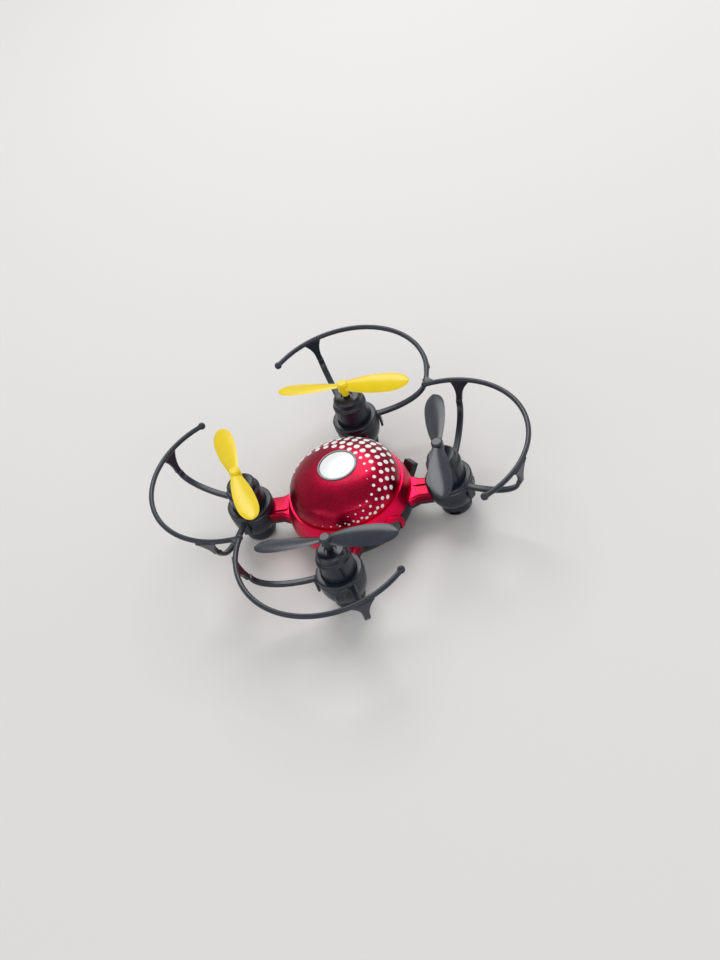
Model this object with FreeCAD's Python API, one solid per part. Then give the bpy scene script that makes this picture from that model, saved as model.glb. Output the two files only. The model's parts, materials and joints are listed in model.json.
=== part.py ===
import FreeCAD, Part
import math
import os

# Palm-sized quadcopter. Origin on the floor under the centre of the body, +Z up, +Y forward.
# Every size is in millimetres and every angle in degrees.

# ---- fits
FIT_GAP = 0.1               # gap between two fixed pieces that meet on a curved face
SLIDE_GAP = 0.3             # gap round a piece that moves
SEAT_GAP = 0.05             # gap between a piece and the hole or face that it is dropped into
PRESS_GAP = 0.01            # radial gap of a propeller on its shaft

# ---- top cover
COVER_R = 22.1
COVER_BASE_Z = 19.5         # where the dome starts, just below the rim
COVER_HEIGHT = 12.8
COVER_POWER = 2.6           # exponent of the superellipse that gives the dome its profile
COVER_WALL = 1.0
COVER_SKIRT = 2.0           # straight skirt under the dome, down to the ledge

# ---- body
WALL = 1.2                  # wall of the two body shells
RIM_WIDTH = 0.8             # red rim that shows round the cover
RIM_ABOVE_BASE = 0.5        # height of the rim above the foot of the dome
BULGE = 2.3                 # how far the body swells below the rim
BOWL_CURVE = 9.2            # width of the rounded edge of the underside
BODY_WIDEST_Z = 11.5        # height of the widest ring
PARTING_Z = 7.0             # height where the red and black shells meet at the sides and rear
FRONT_PARTING_Z = 14.0      # the black shell stands higher across the front
FRONT_PANEL_ANGLE = 32.1    # half of the front panel's width, as an angle about Z
LEDGE_WIDTH = 5.9           # ledge inside the upper shell that carries the top cover
LEDGE_T = 1.0

# ---- front window and its arch
WINDOW_R = 3.9
WINDOW_Z = 11.0
WINDOW_PROUD = 0.25         # how far the window pane stands out of the body
ARCH_WIDTH = 2.2
ARCH_PROUD = 0.7
ARCH_FOOT_Z = 7.5

# ---- power button
BUTTON_R = 7.2
BUTTON_RING_WIDTH = 0.8     # black ring round the button
BUTTON_GAP = 0.1
BUTTON_CROWN = 0.25         # how far the button's middle stands above the dome
BUTTON_FLANGE = 0.6
BUTTON_WALL = 0.9
BUTTON_TRAVEL = 0.6
BUTTON_STEM_R = 1.5
PLUNGER_R = 1.6
SWITCH_SIZE = 6.0
SWITCH_HEIGHT = 5.0         # board to the plunger's top

# ---- arms
ARM_LENGTH = 6.105          # from the widest ring of the body to the cup of a pod
ARM_WIDTH = 10.0
ARM_ROOT_WIDTH = 13.2
ARM_TOP_Z = 14.3
ARM_SPLIT_Z = 10.7          # red above, black below
ARM_BOTTOM_Z = 9.2
ARM_WALL = 1.2
ARM_EDGE_R = 1.1
RIDGE_WIDTH = 2.6
RIDGE_HEIGHT = 0.55

# ---- motor
MOTOR_R = 4.25
MOTOR_LENGTH = 16.0
MOTOR_BOTTOM_Z = 13.5
MOTOR_BOSS_R = 1.4
SHAFT_R = 0.5
SHAFT_RUN = 0.03            # radial running clearance of the shaft in the motor

# ---- motor pods
POD_SEAT_Z = 14.5           # shoulder that the guard sits on
POD_CUP_R = 9.0             # widest radius of the cup under the shoulder
POD_CUP_BOTTOM_Z = 6.0
POD_CUP_BOTTOM_R = 6.6
POD_CUP_BELLY = 0.25        # bulge of the cup's side
SLEEVE_WALL = 2.5           # wall of the sleeve round the motor
SLEEVE_STEP = 1.0           # the sleeve's top is this much narrower
SLEEVE_STEP_BELOW_TOP = 3.8
SLEEVE_CHAMFER = 0.9
POD_RIB_PROUD = 0.35        # the pair of ribs down the outside of a cup
CAP_R = 6.1
CAP_FOOT_R = 3.2            # flat foot under a pod
CAP_WALL = 1.05
LED_R = 2.2
LEAD_R = 0.4
LEAD_PITCH = 1.5            # distance between the two leads of a motor
LEAD_SLOT_HALF = 1.6

# ---- propellers
PROP_TIP_GAP = 1.0          # half the gap between the circles of neighbouring propellers
PROP_ABOVE_COVER = 3.2      # height of the blades above the top of the dome
PROP_CHORD = 8.8
PROP_ROOT_PITCH = 24.0
PROP_TWIST = 14.0
BLADE_ROOT_T = 1.15
BLADE_TIP_T = 0.6
HUB_R = 2.3
HUB_HEIGHT = 4.0
BARREL_R = 1.5
# one blade's direction at rest
PROP_REST = {"front_right": -46.0, "front_left": 50.5, "rear_left": -50.5, "rear_right": 67.0}

# ---- guards
GUARD_MARGIN = 7.0          # from a propeller's tip circle to the middle of the guard's wire
GUARD_TUBE_R = 1.0
GUARD_BALL_R = 1.5
GUARD_END_ANGLE = 103.0     # free end of the front right arc, as a direction from its motor
CLIP_RING_T = 2.3
CLIP_RING_HEIGHT = 3.9
CLIP_GROOVE = 0.45
CLIP_EDGE = 0.25            # chamfer of the ring's lips
CLIP_TAB = (1.0, 3.2)       # thickness and width of a hook beside the cup
CLIP_TAB_DROP = 4.2
STRUT_T = 1.6
STRUT_WIDTH = 2.5
STRUT_EDGE_R = 0.45

# ---- battery bay
BATTERY_LENGTH = 29.0
BATTERY_WIDTH = 16.0
BATTERY_HEIGHT = 5.8
BATTERY_EDGE_R = 1.2
BATTERY_BACK_X = -17.0      # outer end of the pack; it slides out towards -X
BAY_RAIL = 1.0              # height of the two rails under the pack
BAY_WALL = 1.0
CONTACT_LENGTH = 1.4        # battery contact blades at the inner end of the bay
BOARD_ABOVE_BATTERY = 0.5
DOOR_MARGIN = 0.6           # the door is this much wider than the pack on each side
DOOR_PROUD = 0.15
TAB_Y = 5.0
TAB_SIZE = (3.0, 5.0, 8.5)  # thickness, width and length of the pull tab
TAB_LEAN = 41.0             # lean of the tab from upright, outwards
TAB_SUNK = 2.3              # depth of the tab's foot behind the widest ring of the body

# ---- circuit board
BOARD = (30.0, 24.0)
BOARD_T = 1.0
BOARD_Z = 10.7              # underside of the board, level with the arms
BOARD_CORNER = 3.0

# ---- screws
SCREW_X = 6.5
SCREW_Y = 17.3
SCREW_R = 0.75
SCREW_HEAD_R = 1.5
SCREW_HEAD_T = 1.2
SCREW_BOSS_WALL = 1.45

# ---- worked out from the sizes above
RIM_R = COVER_R + RIM_WIDTH
RIM_Z = COVER_BASE_Z + RIM_ABOVE_BASE
BODY_R = RIM_R + BULGE
BOWL_FLAT_R = BODY_R - BOWL_CURVE
LEDGE_INNER_R = COVER_R - LEDGE_WIDTH
LEDGE_TOP_Z = COVER_BASE_Z - COVER_SKIRT
COVER_TOP_Z = COVER_BASE_Z + COVER_HEIGHT
FRONT_PANEL_HALF = BODY_R * math.sin(math.radians(FRONT_PANEL_ANGLE))
BUTTON_RING_R = BUTTON_R + BUTTON_RING_WIDTH

AXIS_DISTANCE = BODY_R + ARM_LENGTH + POD_CUP_R
HALF = AXIS_DISTANCE / math.sqrt(2.0)
CORNERS = {
    "front_right": (1, 1),
    "front_left": (-1, 1),
    "rear_left": (-1, -1),
    "rear_right": (1, -1),
}

MOTOR_TOP_Z = MOTOR_BOTTOM_Z + MOTOR_LENGTH
SLEEVE_R = MOTOR_R + SEAT_GAP + SLEEVE_WALL
SLEEVE_TOP_R = SLEEVE_R - SLEEVE_STEP
SLEEVE_TOP_Z = MOTOR_TOP_Z + 0.5
SLEEVE_STEP_Z = SLEEVE_TOP_Z - SLEEVE_STEP_BELOW_TOP
PROP_Z = COVER_TOP_Z + PROP_ABOVE_COVER
PROP_R = HALF - PROP_TIP_GAP
GUARD_R = PROP_R + GUARD_MARGIN
CLIP_RING_R = SLEEVE_R + FIT_GAP + CLIP_RING_T

BATTERY_FRONT_X = BATTERY_BACK_X + BATTERY_LENGTH
BATTERY_Z = BOARD_Z - BOARD_ABOVE_BATTERY - BATTERY_HEIGHT
FLOOR_Z = BATTERY_Z - BAY_RAIL
BODY_BOTTOM_Z = FLOOR_Z - WALL
BOARD_TOP_Z = BOARD_Z + BOARD_T
PLUNGER_TOP_Z = BOARD_TOP_Z + SWITCH_HEIGHT
LEAD_Z = BOARD_TOP_Z + LEAD_R + 0.02

V = FreeCAD.Vector
ORIGIN = V(0, 0, 0)
UP = V(0, 0, 1)


# ---------------------------------------------------------------- helpers
def block(x0, x1, y0, y1, z0, z1):
    return Part.makeBox(x1 - x0, y1 - y0, z1 - z0, V(x0, y0, z0))


def rod(r, z0, z1, x=0.0, y=0.0):
    return Part.makeCylinder(r, z1 - z0, V(x, y, z0))


def tube(r_outer, r_inner, z0, z1, x=0.0, y=0.0):
    return rod(r_outer, z0, z1, x, y).cut(rod(r_inner, z0, z1, x, y))


def line(a, b):
    return Part.LineSegment(a, b).toShape()


def arc(a, b, c):
    return Part.Arc(a, b, c).toShape()


def revolve(edges):
    """Solid of revolution about Z of a closed outline in the XZ plane."""
    face = Part.Face(Part.Wire(Part.__sortEdges__(edges)))
    return face.revolve(ORIGIN, UP, 360)


def turned(points):
    """Solid of revolution about Z of straight runs through (r, z) points."""
    path = [V(r, 0, z) for r, z in points]
    edges = [line(a, b) for a, b in zip(path, path[1:] + path[:1])]
    return revolve(edges)


def prism(points, z0, z1):
    """Upright prism over a closed outline of (x, y) points."""
    path = [V(x, y, z0) for x, y in points]
    face = Part.Face(Part.makePolygon(path + path[:1]))
    return face.extrude(V(0, 0, z1 - z0))


def along(shape, corner):
    """Move a shape made on the +X axis to the diagonal of a corner."""
    sx, sy = CORNERS[corner]
    copy = shape.copy()
    copy.rotate(ORIGIN, UP, math.degrees(math.atan2(sy, sx)))
    return copy


def at_motor(shape, corner):
    """Move a shape made about the Z axis, with +X outwards, to a motor axis."""
    copy = shape.copy()
    copy.translate(V(AXIS_DISTANCE, 0, 0))
    return along(copy, corner)


def fuse(shapes):
    result = shapes[0].multiFuse(shapes[1:])
    return result.removeSplitter()


def export(name, shape):
    shape.exportStep("parts/" + name + ".step")


def quarter_ellipse(a, b):
    """Lower right quarter of an ellipse about the origin, in the XY plane."""
    if a >= b:
        return Part.ArcOfEllipse(Part.Ellipse(ORIGIN, a, b), 1.5 * math.pi, 2.0 * math.pi).toShape()
    upright = Part.Ellipse(V(0, b, 0), V(a, 0, 0), ORIGIN)
    return Part.ArcOfEllipse(upright, 0.5 * math.pi, math.pi).toShape()


# ---------------------------------------------------------------- body outline
def body_solid(offset):
    """The body's outer form, grown by offset (or shrunk, where it is negative)."""
    bottom = BODY_BOTTOM_Z - offset
    rim = V(RIM_R + offset, 0, RIM_Z)
    widest = V(BODY_R + offset, 0, BODY_WIDEST_Z)
    shoulder = V(RIM_R * 0.3 + BODY_R * 0.7 + offset, 0, RIM_Z * 0.55 + BODY_WIDEST_Z * 0.45)
    half_width = BODY_R + offset - BOWL_FLAT_R
    half_height = BODY_WIDEST_Z - bottom
    bowl_arc = quarter_ellipse(half_width, half_height)
    bowl_arc.rotate(ORIGIN, V(1, 0, 0), 90)
    bowl_arc.translate(V(BOWL_FLAT_R, 0, BODY_WIDEST_Z))
    edges = [
        arc(rim, shoulder, widest),
        bowl_arc,
        line(V(BOWL_FLAT_R, 0, bottom), V(0, 0, bottom)),
        line(V(0, 0, bottom), V(0, 0, RIM_Z)),
        line(V(0, 0, RIM_Z), rim),
    ]
    return revolve(edges)


def pod_form(offset):
    """Outer form of a motor pod about Z, grown by offset."""
    seat = V(POD_CUP_R - 0.1 + offset, 0, POD_SEAT_Z)
    belly = V(POD_CUP_R - 0.1 - POD_CUP_BELLY + offset, 0, (POD_SEAT_Z + POD_CUP_BOTTOM_Z) / 2.0)
    foot = V(POD_CUP_BOTTOM_R + offset, 0, POD_CUP_BOTTOM_Z)
    neck = V(SLEEVE_R + offset, 0, POD_SEAT_Z)
    step = V(SLEEVE_R + offset, 0, SLEEVE_STEP_Z)
    step_in = V(SLEEVE_TOP_R + offset, 0, SLEEVE_STEP_Z + SLEEVE_STEP * 0.6)
    shoulder = V(SLEEVE_TOP_R + offset, 0, SLEEVE_TOP_Z - SLEEVE_CHAMFER)
    top = V(SLEEVE_TOP_R - SLEEVE_CHAMFER + offset, 0, SLEEVE_TOP_Z)
    edges = [
        line(V(0, 0, POD_CUP_BOTTOM_Z), foot),
        arc(foot, belly, seat),
        line(seat, neck),
        line(neck, step),
        line(step, step_in),
        line(step_in, shoulder),
        line(shoulder, top),
        line(top, V(0, 0, SLEEVE_TOP_Z)),
        line(V(0, 0, SLEEVE_TOP_Z), V(0, 0, POD_CUP_BOTTOM_Z)),
    ]
    return revolve(edges)


def arm_outline(inset, root):
    """Half-plan of an arm on the +X axis: wide at the body, narrow at the pod."""
    half_root = ARM_ROOT_WIDTH / 2.0 - inset
    half_arm = ARM_WIDTH / 2.0 - inset
    flare_end = BODY_R + ARM_LENGTH * 0.43
    tip = AXIS_DISTANCE - POD_CUP_BOTTOM_R + 1.0
    return [
        (root, -half_root), (BODY_R - 0.6, -half_root), (flare_end, -half_arm), (tip, -half_arm),
        (tip, half_arm), (flare_end, half_arm), (BODY_R - 0.6, half_root), (root, half_root),
    ]


# ---------------------------------------------------------------- front window
def front_rod(r):
    """Cylinder along +Y through the front wall, at the window."""
    start = BODY_R - BOWL_CURVE
    return Part.makeCylinder(r, BOWL_CURVE + 5.0, V(0, start, WINDOW_Z), V(0, 1, 0))


def front_slot(half, foot_z):
    """Upright slot with a round head, along +Y through the front wall."""
    y0, y1 = BODY_R - BOWL_CURVE, BODY_R + 5.0
    head = front_rod(half).common(block(-half, half, y0, y1, WINDOW_Z, WINDOW_Z + half))
    return fuse([head, block(-half, half, y0, y1, foot_z, WINDOW_Z)])


def front_arch():
    outer = front_slot(WINDOW_R + ARCH_WIDTH, ARCH_FOOT_Z)
    inner = front_slot(WINDOW_R, ARCH_FOOT_Z - 1.0)
    skin = body_solid(ARCH_PROUD).cut(body_solid(-WALL))
    return outer.cut(inner).common(skin)


# ---------------------------------------------------------------- battery bay
def bay_mouth(gap):
    """Hole through the left wall that the battery and its door leave by."""
    half = BATTERY_WIDTH / 2.0 + DOOR_MARGIN + gap
    z0 = BATTERY_Z - 0.2 - gap
    z1 = BOARD_Z - 0.2 + gap
    return block(-BODY_R * 2.0, -BODY_R + 7.2, -half, half, z0, z1)


# ---------------------------------------------------------------- shells
def wall_shell():
    return body_solid(0).cut(body_solid(-WALL))


def front_panel(gap):
    half = FRONT_PANEL_HALF + gap
    return block(-half, half, BODY_R * 0.6, BODY_R * 2.0, PARTING_Z - 1.0, FRONT_PARTING_Z + gap)


ARM_ROOT_X = BODY_R - 3.5
RIDGE_Y = 1.9               # the ridge runs a little to one side of an arm's middle
SCREW_TIP_Z = LEDGE_TOP_Z - 2.2


def arm_drop(inset, z1):
    """Block on the +X axis that takes the black wall under an arm's root."""
    half = ARM_ROOT_WIDTH / 2.0 - inset
    return block(BODY_R - 6.0, BODY_R + 2.0, -half, half, PARTING_Z - 1.0, z1)


def upper_shell():
    shell = wall_shell().common(rod(BODY_R * 2.0, PARTING_Z, RIM_Z + 1))
    shell = shell.cut(front_panel(0)).cut(front_slot(WINDOW_R, ARCH_FOOT_Z))
    ledge = tube(RIM_R + 0.6, LEDGE_INNER_R, LEDGE_TOP_Z - LEDGE_T, LEDGE_TOP_Z)
    pieces = [shell, ledge]
    holes = [rod(COVER_R + FIT_GAP, LEDGE_TOP_Z, RIM_Z + 1)]
    for x in (-SCREW_X, SCREW_X):
        for y in (-SCREW_Y, SCREW_Y):
            pieces.append(rod(SCREW_R + SCREW_BOSS_WALL, BOARD_Z, LEDGE_TOP_Z - LEDGE_T / 2.0, x, y))
            holes.append(rod(SCREW_R + SEAT_GAP, BOARD_Z - 1, SCREW_TIP_Z + 0.6, x, y))
    for corner in CORNERS:
        arm = prism(arm_outline(0, ARM_ROOT_X), ARM_SPLIT_Z + FIT_GAP, ARM_TOP_Z)
        top_edges = [e for e in arm.Edges if e.CenterOfMass.z > ARM_TOP_Z - 0.01]
        side_edges = [e for e in top_edges if e.CenterOfMass.x > BODY_R and abs(e.CenterOfMass.y) > 1.0]
        arm = arm.makeFillet(ARM_EDGE_R, side_edges)
        ridge_r = RIDGE_WIDTH / 2.0
        ridge_start = BODY_R + ridge_r
        ridge_end = AXIS_DISTANCE - CLIP_RING_R - SLIDE_GAP
        ridge_z = ARM_TOP_Z + RIDGE_HEIGHT
        ridge = block(ridge_start, ridge_end, RIDGE_Y - ridge_r, RIDGE_Y + ridge_r, ARM_TOP_Z - 1, ridge_z)
        ridge = ridge.fuse(rod(ridge_r, ARM_TOP_Z - 1, ridge_z, ridge_start, RIDGE_Y))
        pieces.append(along(arm.fuse(ridge), corner))
        half_hollow = ARM_WIDTH / 2.0 - ARM_WALL
        hollow = block(LEDGE_INNER_R + 2.0, AXIS_DISTANCE, -half_hollow, half_hollow,
                       ARM_SPLIT_Z - 1, ARM_TOP_Z - ARM_WALL)
        holes.append(along(hollow, corner))
        notch = prism(arm_outline(0, ARM_ROOT_X), ARM_BOTTOM_Z - FIT_GAP, ARM_SPLIT_Z + FIT_GAP)
        holes.append(along(notch, corner))
        holes.append(along(arm_drop(0, ARM_BOTTOM_Z), corner))
        holes.append(at_motor(pod_form(FIT_GAP), corner))
    shell = fuse(pieces)
    for hole in holes:
        shell = shell.cut(hole)
    shell = shell.fuse(front_arch())
    shell = shell.cut(bay_mouth(SLIDE_GAP - FIT_GAP))
    return shell.removeSplitter()


def lower_shell():
    bowl = wall_shell().common(rod(BODY_R * 2.0, 0, PARTING_Z - FIT_GAP))
    panel = wall_shell().common(front_panel(-FIT_GAP))
    arch_seat = front_slot(WINDOW_R + ARCH_WIDTH + FIT_GAP, ARCH_FOOT_Z - FIT_GAP)
    arch_seat = arch_seat.cut(front_slot(WINDOW_R - FIT_GAP, ARCH_FOOT_Z - 1.0))
    for corner in CORNERS:
        arm_room = prism(arm_outline(-FIT_GAP, ARM_ROOT_X - 0.5), ARM_SPLIT_Z, ARM_TOP_Z + FIT_GAP)
        panel = panel.cut(along(arm_room, corner))
    pieces = [bowl.fuse(panel).cut(arch_seat).cut(front_rod(WINDOW_R))]
    for y in (-BATTERY_WIDTH * 0.3, BATTERY_WIDTH * 0.3):
        rail_x = BATTERY_BACK_X + 3.0
        pieces.append(block(rail_x, BATTERY_FRONT_X, y - 0.8, y + 0.8, FLOOR_Z - 0.4, BATTERY_Z - SEAT_GAP))
    envelope = body_solid(-0.3)
    holes = [bay_mouth(SLIDE_GAP - FIT_GAP)]
    for x in (-SCREW_X, SCREW_X):
        for y in (-SCREW_Y, SCREW_Y):
            boss = rod(SCREW_HEAD_R + 0.9, BODY_BOTTOM_Z, BOARD_Z - FIT_GAP, x, y)
            pieces.append(boss.common(envelope))
            holes.append(rod(SCREW_R + FIT_GAP, 0, BOARD_Z, x, y))
            holes.append(rod(SCREW_HEAD_R + FIT_GAP, 0, FLOOR_Z + SCREW_HEAD_T, x, y))
    wall_y = BATTERY_WIDTH / 2.0 + SLIDE_GAP
    wall_x = BATTERY_FRONT_X + CONTACT_LENGTH + FIT_GAP
    for y0, y1 in ((wall_y, wall_y + BAY_WALL), (-wall_y - BAY_WALL, -wall_y)):
        side = block(-BODY_R + 6.0, wall_x, y0, y1, FLOOR_Z - 0.4, BOARD_Z)
        pieces.append(side.common(envelope))
    half = wall_y + BAY_WALL
    end_wall = block(wall_x, wall_x + BAY_WALL, -half, half, FLOOR_Z - 0.4, BOARD_Z)
    pieces.append(end_wall.common(envelope))
    for corner in CORNERS:
        strip = prism(arm_outline(SLIDE_GAP, ARM_ROOT_X + WALL), ARM_BOTTOM_Z, ARM_SPLIT_Z)
        drop = arm_drop(FIT_GAP, ARM_SPLIT_Z).common(wall_shell())
        pieces.append(along(strip.fuse(drop), corner))
        holes.append(at_motor(pod_form(FIT_GAP), corner))
    shell = fuse(pieces)
    for hole in holes:
        shell = shell.cut(hole)
    return shell.removeSplitter()


def front_window():
    return front_rod(WINDOW_R - FIT_GAP).common(body_solid(WINDOW_PROUD).cut(body_solid(-WALL)))


# ---------------------------------------------------------------- top cover and button
def dome_edge(radius, height, r_stop):
    """Superellipse from the dome's base to where its radius falls to r_stop."""
    steps = 9
    end = math.acos((r_stop / radius) ** (COVER_POWER / 2.0))
    points = []
    for i in range(steps + 1):
        t = end * i / steps
        r = radius * math.cos(t) ** (2.0 / COVER_POWER)
        z = COVER_BASE_Z + height * math.sin(t) ** (2.0 / COVER_POWER)
        points.append(V(r, 0, z))
    curve = Part.BSplineCurve()
    curve.interpolate(points)
    return curve.toShape(), points[-1]


def top_cover():
    hole_r = BUTTON_RING_R + SEAT_GAP
    outer, outer_end = dome_edge(COVER_R, COVER_HEIGHT, hole_r)
    inner, inner_end = dome_edge(COVER_R - COVER_WALL, COVER_HEIGHT - COVER_WALL, hole_r)
    inner_r = COVER_R - COVER_WALL
    edges = [
        outer,
        line(outer_end, inner_end),
        inner,
        line(V(inner_r, 0, COVER_BASE_Z), V(inner_r, 0, LEDGE_TOP_Z)),
        line(V(inner_r, 0, LEDGE_TOP_Z), V(COVER_R, 0, LEDGE_TOP_Z)),
        line(V(COVER_R, 0, LEDGE_TOP_Z), V(COVER_R, 0, COVER_BASE_Z)),
    ]
    return revolve(edges)


RING_EDGE = 0.25            # chamfer of the ring's outer edge
RING_FLANGE_Z = COVER_TOP_Z - COVER_WALL - 0.6
RING_BOTTOM_Z = RING_FLANGE_Z - 1.1


def button_ring():
    bore = BUTTON_R + BUTTON_GAP
    flange_r = BUTTON_RING_R + 1.0
    return turned([
        (bore, RING_BOTTOM_Z), (flange_r, RING_BOTTOM_Z), (flange_r, RING_FLANGE_Z),
        (BUTTON_RING_R, RING_FLANGE_Z), (BUTTON_RING_R, COVER_TOP_Z - RING_EDGE),
        (BUTTON_RING_R - RING_EDGE, COVER_TOP_Z), (bore, COVER_TOP_Z),
    ])


def power_button():
    crown = V(0, 0, COVER_TOP_Z + BUTTON_CROWN)
    mid = V(BUTTON_R * 0.55, 0, COVER_TOP_Z + BUTTON_CROWN * 0.6)
    edge = V(BUTTON_R - 0.3, 0, COVER_TOP_Z - 0.1)
    corner = V(BUTTON_R, 0, COVER_TOP_Z - 0.4)
    flange_r = BUTTON_R + BUTTON_FLANGE
    flange_z = RING_BOTTOM_Z - 0.7
    inner_r = BUTTON_R - BUTTON_WALL
    under_z = COVER_TOP_Z - 1.3
    outline = [
        corner, V(BUTTON_R, 0, RING_BOTTOM_Z), V(flange_r, 0, RING_BOTTOM_Z), V(flange_r, 0, flange_z),
        V(inner_r, 0, flange_z), V(inner_r, 0, under_z), V(BUTTON_STEM_R, 0, under_z),
        V(BUTTON_STEM_R, 0, PLUNGER_TOP_Z), V(0, 0, PLUNGER_TOP_Z), crown,
    ]
    edges = [line(a, b) for a, b in zip(outline, outline[1:])]
    edges += [arc(crown, mid, edge), line(edge, corner)]
    return revolve(edges)


PLUNGER_LENGTH = 2.0


def switch_plunger():
    return rod(PLUNGER_R, PLUNGER_TOP_Z - PLUNGER_LENGTH, PLUNGER_TOP_Z)


def tact_switch():
    half = SWITCH_SIZE / 2.0
    body = block(-half, half, -half, half, BOARD_TOP_Z, PLUNGER_TOP_Z - BUTTON_TRAVEL - 0.4)
    bore_z = PLUNGER_TOP_Z - PLUNGER_LENGTH - BUTTON_TRAVEL - 0.2
    body = body.cut(rod(PLUNGER_R + FIT_GAP, bore_z, PLUNGER_TOP_Z))
    foot_z = BOARD_TOP_Z + 1.2
    feet = [block(x - 0.35, x + 0.35, -half - 0.4, half + 0.4, BOARD_TOP_Z, foot_z)
            for x in (-half * 0.75, half * 0.75)]
    return fuse([body] + feet)


# ---------------------------------------------------------------- electronics
def circuit_board():
    half_x, half_y = BOARD[0] / 2.0, BOARD[1] / 2.0
    cut = BOARD_CORNER
    plate = prism([
        (-half_x + cut, -half_y), (half_x - cut, -half_y), (half_x, -half_y + cut),
        (half_x, half_y - cut), (half_x - cut, half_y), (-half_x + cut, half_y),
        (-half_x, half_y - cut), (-half_x, -half_y + cut),
    ], BOARD_Z, BOARD_TOP_Z)
    for x in (-half_x + 2.0, half_x - 2.0):
        plate = plate.cut(rod(0.8, BOARD_Z - 1, BOARD_TOP_Z + 1, x, 0))
    return plate


def board_chips():
    """Processor, radio, gyro, crystal and four motor drivers, as separate solids."""
    u, v = BOARD[0] / 2.0, BOARD[1] / 2.0
    # centre, half length, half width and height of each
    sizes = [
        (u * 0.53, 0.0, 3.5, 3.5, 1.0),
        (-u * 0.57, v * 0.29, 2.5, 2.5, 0.9),
        (-u * 0.57, -v * 0.33, 2.0, 2.0, 1.1),
        (-u * 0.59, v * 0.72, 2.2, 0.9, 1.2),
    ]
    sizes += [(x, y, 1.5, 0.8, 1.0) for x in (-u * 0.25, u * 0.35) for y in (-v * 0.8, v * 0.8)]
    chips = [block(x - a, x + a, y - b, y + b, BOARD_TOP_Z, BOARD_TOP_Z + h) for x, y, a, b, h in sizes]
    return Part.makeCompound(chips)


def battery_pack():
    half = BATTERY_WIDTH / 2.0
    pack = block(BATTERY_BACK_X, BATTERY_FRONT_X, -half, half, BATTERY_Z, BATTERY_Z + BATTERY_HEIGHT)
    long_edges = [e for e in pack.Edges if abs(e.tangentAt(e.FirstParameter).x) > 0.9]
    return pack.makeFillet(BATTERY_EDGE_R, long_edges)


def battery_contacts():
    x0 = BATTERY_FRONT_X + FIT_GAP
    z0 = BATTERY_Z + BATTERY_HEIGHT * 0.25
    z1 = BATTERY_Z + BATTERY_HEIGHT * 0.75
    blades = [block(x0, x0 + CONTACT_LENGTH, y - 1.2, y + 1.2, z0, z1)
              for y in (-BATTERY_WIDTH * 0.25, BATTERY_WIDTH * 0.25)]
    return Part.makeCompound(blades)


def battery_door():
    skin = body_solid(DOOR_PROUD).cut(body_solid(-WALL))
    door = skin.common(bay_mouth(0))
    thickness, width, length = TAB_SIZE
    tab = block(-thickness / 2.0, thickness / 2.0, TAB_Y - width / 2.0, TAB_Y + width / 2.0, 0, length)
    edges = [e for e in tab.Edges if e.CenterOfMass.z > length - 0.01]
    tab = tab.makeFillet(0.5, edges)
    tab.rotate(ORIGIN, V(0, 1, 0), -TAB_LEAN)
    tab.translate(V(-BODY_R + TAB_SUNK, 0, PARTING_Z - 1.4))
    tab = tab.cut(body_solid(-WALL))
    half_spine = BATTERY_WIDTH / 2.0 - 1.0
    z0, z1 = BATTERY_Z + 0.6, BATTERY_Z + BATTERY_HEIGHT - 0.6
    spine = block(-BODY_R + 1.0, BATTERY_BACK_X, -half_spine, half_spine, z0, z1)
    return fuse([door, tab, spine.common(body_solid(-WALL + 0.2))])


# ---------------------------------------------------------------- screws
def body_screws():
    """Four screws from below, each with a cross in its head."""
    screws = []
    slot = SCREW_HEAD_R * 0.67
    for x in (-SCREW_X, SCREW_X):
        for y in (-SCREW_Y, SCREW_Y):
            head_z = FLOOR_Z + SCREW_HEAD_T
            head = rod(SCREW_HEAD_R, FLOOR_Z, head_z, x, y)
            for a, b in ((slot, 0.2), (0.2, slot)):
                head = head.cut(block(x - a, x + a, y - b, y + b, FLOOR_Z - 1, FLOOR_Z + SCREW_HEAD_T * 0.4))
            screws.append(head.fuse(rod(SCREW_R, head_z, SCREW_TIP_Z, x, y)).removeSplitter())
    return Part.makeCompound(screws)


# ---------------------------------------------------------------- motor pods
BORE_R = MOTOR_R + SEAT_GAP
LEAD_SLOT = (LEAD_Z - 1.1, LEAD_Z + 1.1)
RIB_Y = 1.9


def motor_pod():
    pod = pod_form(0)
    ribs = [block(BORE_R + 0.7, POD_CUP_R + 3.0, y - 0.4, y + 0.4, POD_CUP_BOTTOM_Z + 1.2, POD_SEAT_Z - 0.8)
            for y in (-RIB_Y, RIB_Y)]
    rib_form = pod_form(POD_RIB_PROUD)
    pod = fuse([pod] + [rib.common(rib_form) for rib in ribs])
    pod = pod.cut(rod(BORE_R, POD_CUP_BOTTOM_Z - 1, MOTOR_TOP_Z))
    pod = pod.cut(rod(BARREL_R + 0.8, MOTOR_TOP_Z - 1, SLEEVE_TOP_Z + 1))
    pod = pod.cut(block(-POD_CUP_R - 3.0, 0.0, -LEAD_SLOT_HALF, LEAD_SLOT_HALF, *LEAD_SLOT))
    return pod.removeSplitter()


CAP_FLOOR_Z = 1.2
LIGHT_SLOT_TURN = -95.0     # the second slot of a bulb, as a turn from the first


def cap_outline():
    foot = V(CAP_FOOT_R, 0, 0)
    side = V(CAP_R - 0.35, 0, POD_CUP_BOTTOM_Z * 0.27)
    top = V(CAP_R, 0, POD_CUP_BOTTOM_Z * 0.7)
    return [
        line(V(0, 0, 0), foot), arc(foot, side, top),
        line(top, V(CAP_R - 0.1, 0, POD_CUP_BOTTOM_Z)),
        line(V(CAP_R - 0.1, 0, POD_CUP_BOTTOM_Z), V(0, 0, POD_CUP_BOTTOM_Z)),
        line(V(0, 0, POD_CUP_BOTTOM_Z), V(0, 0, 0)),
    ]


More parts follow.
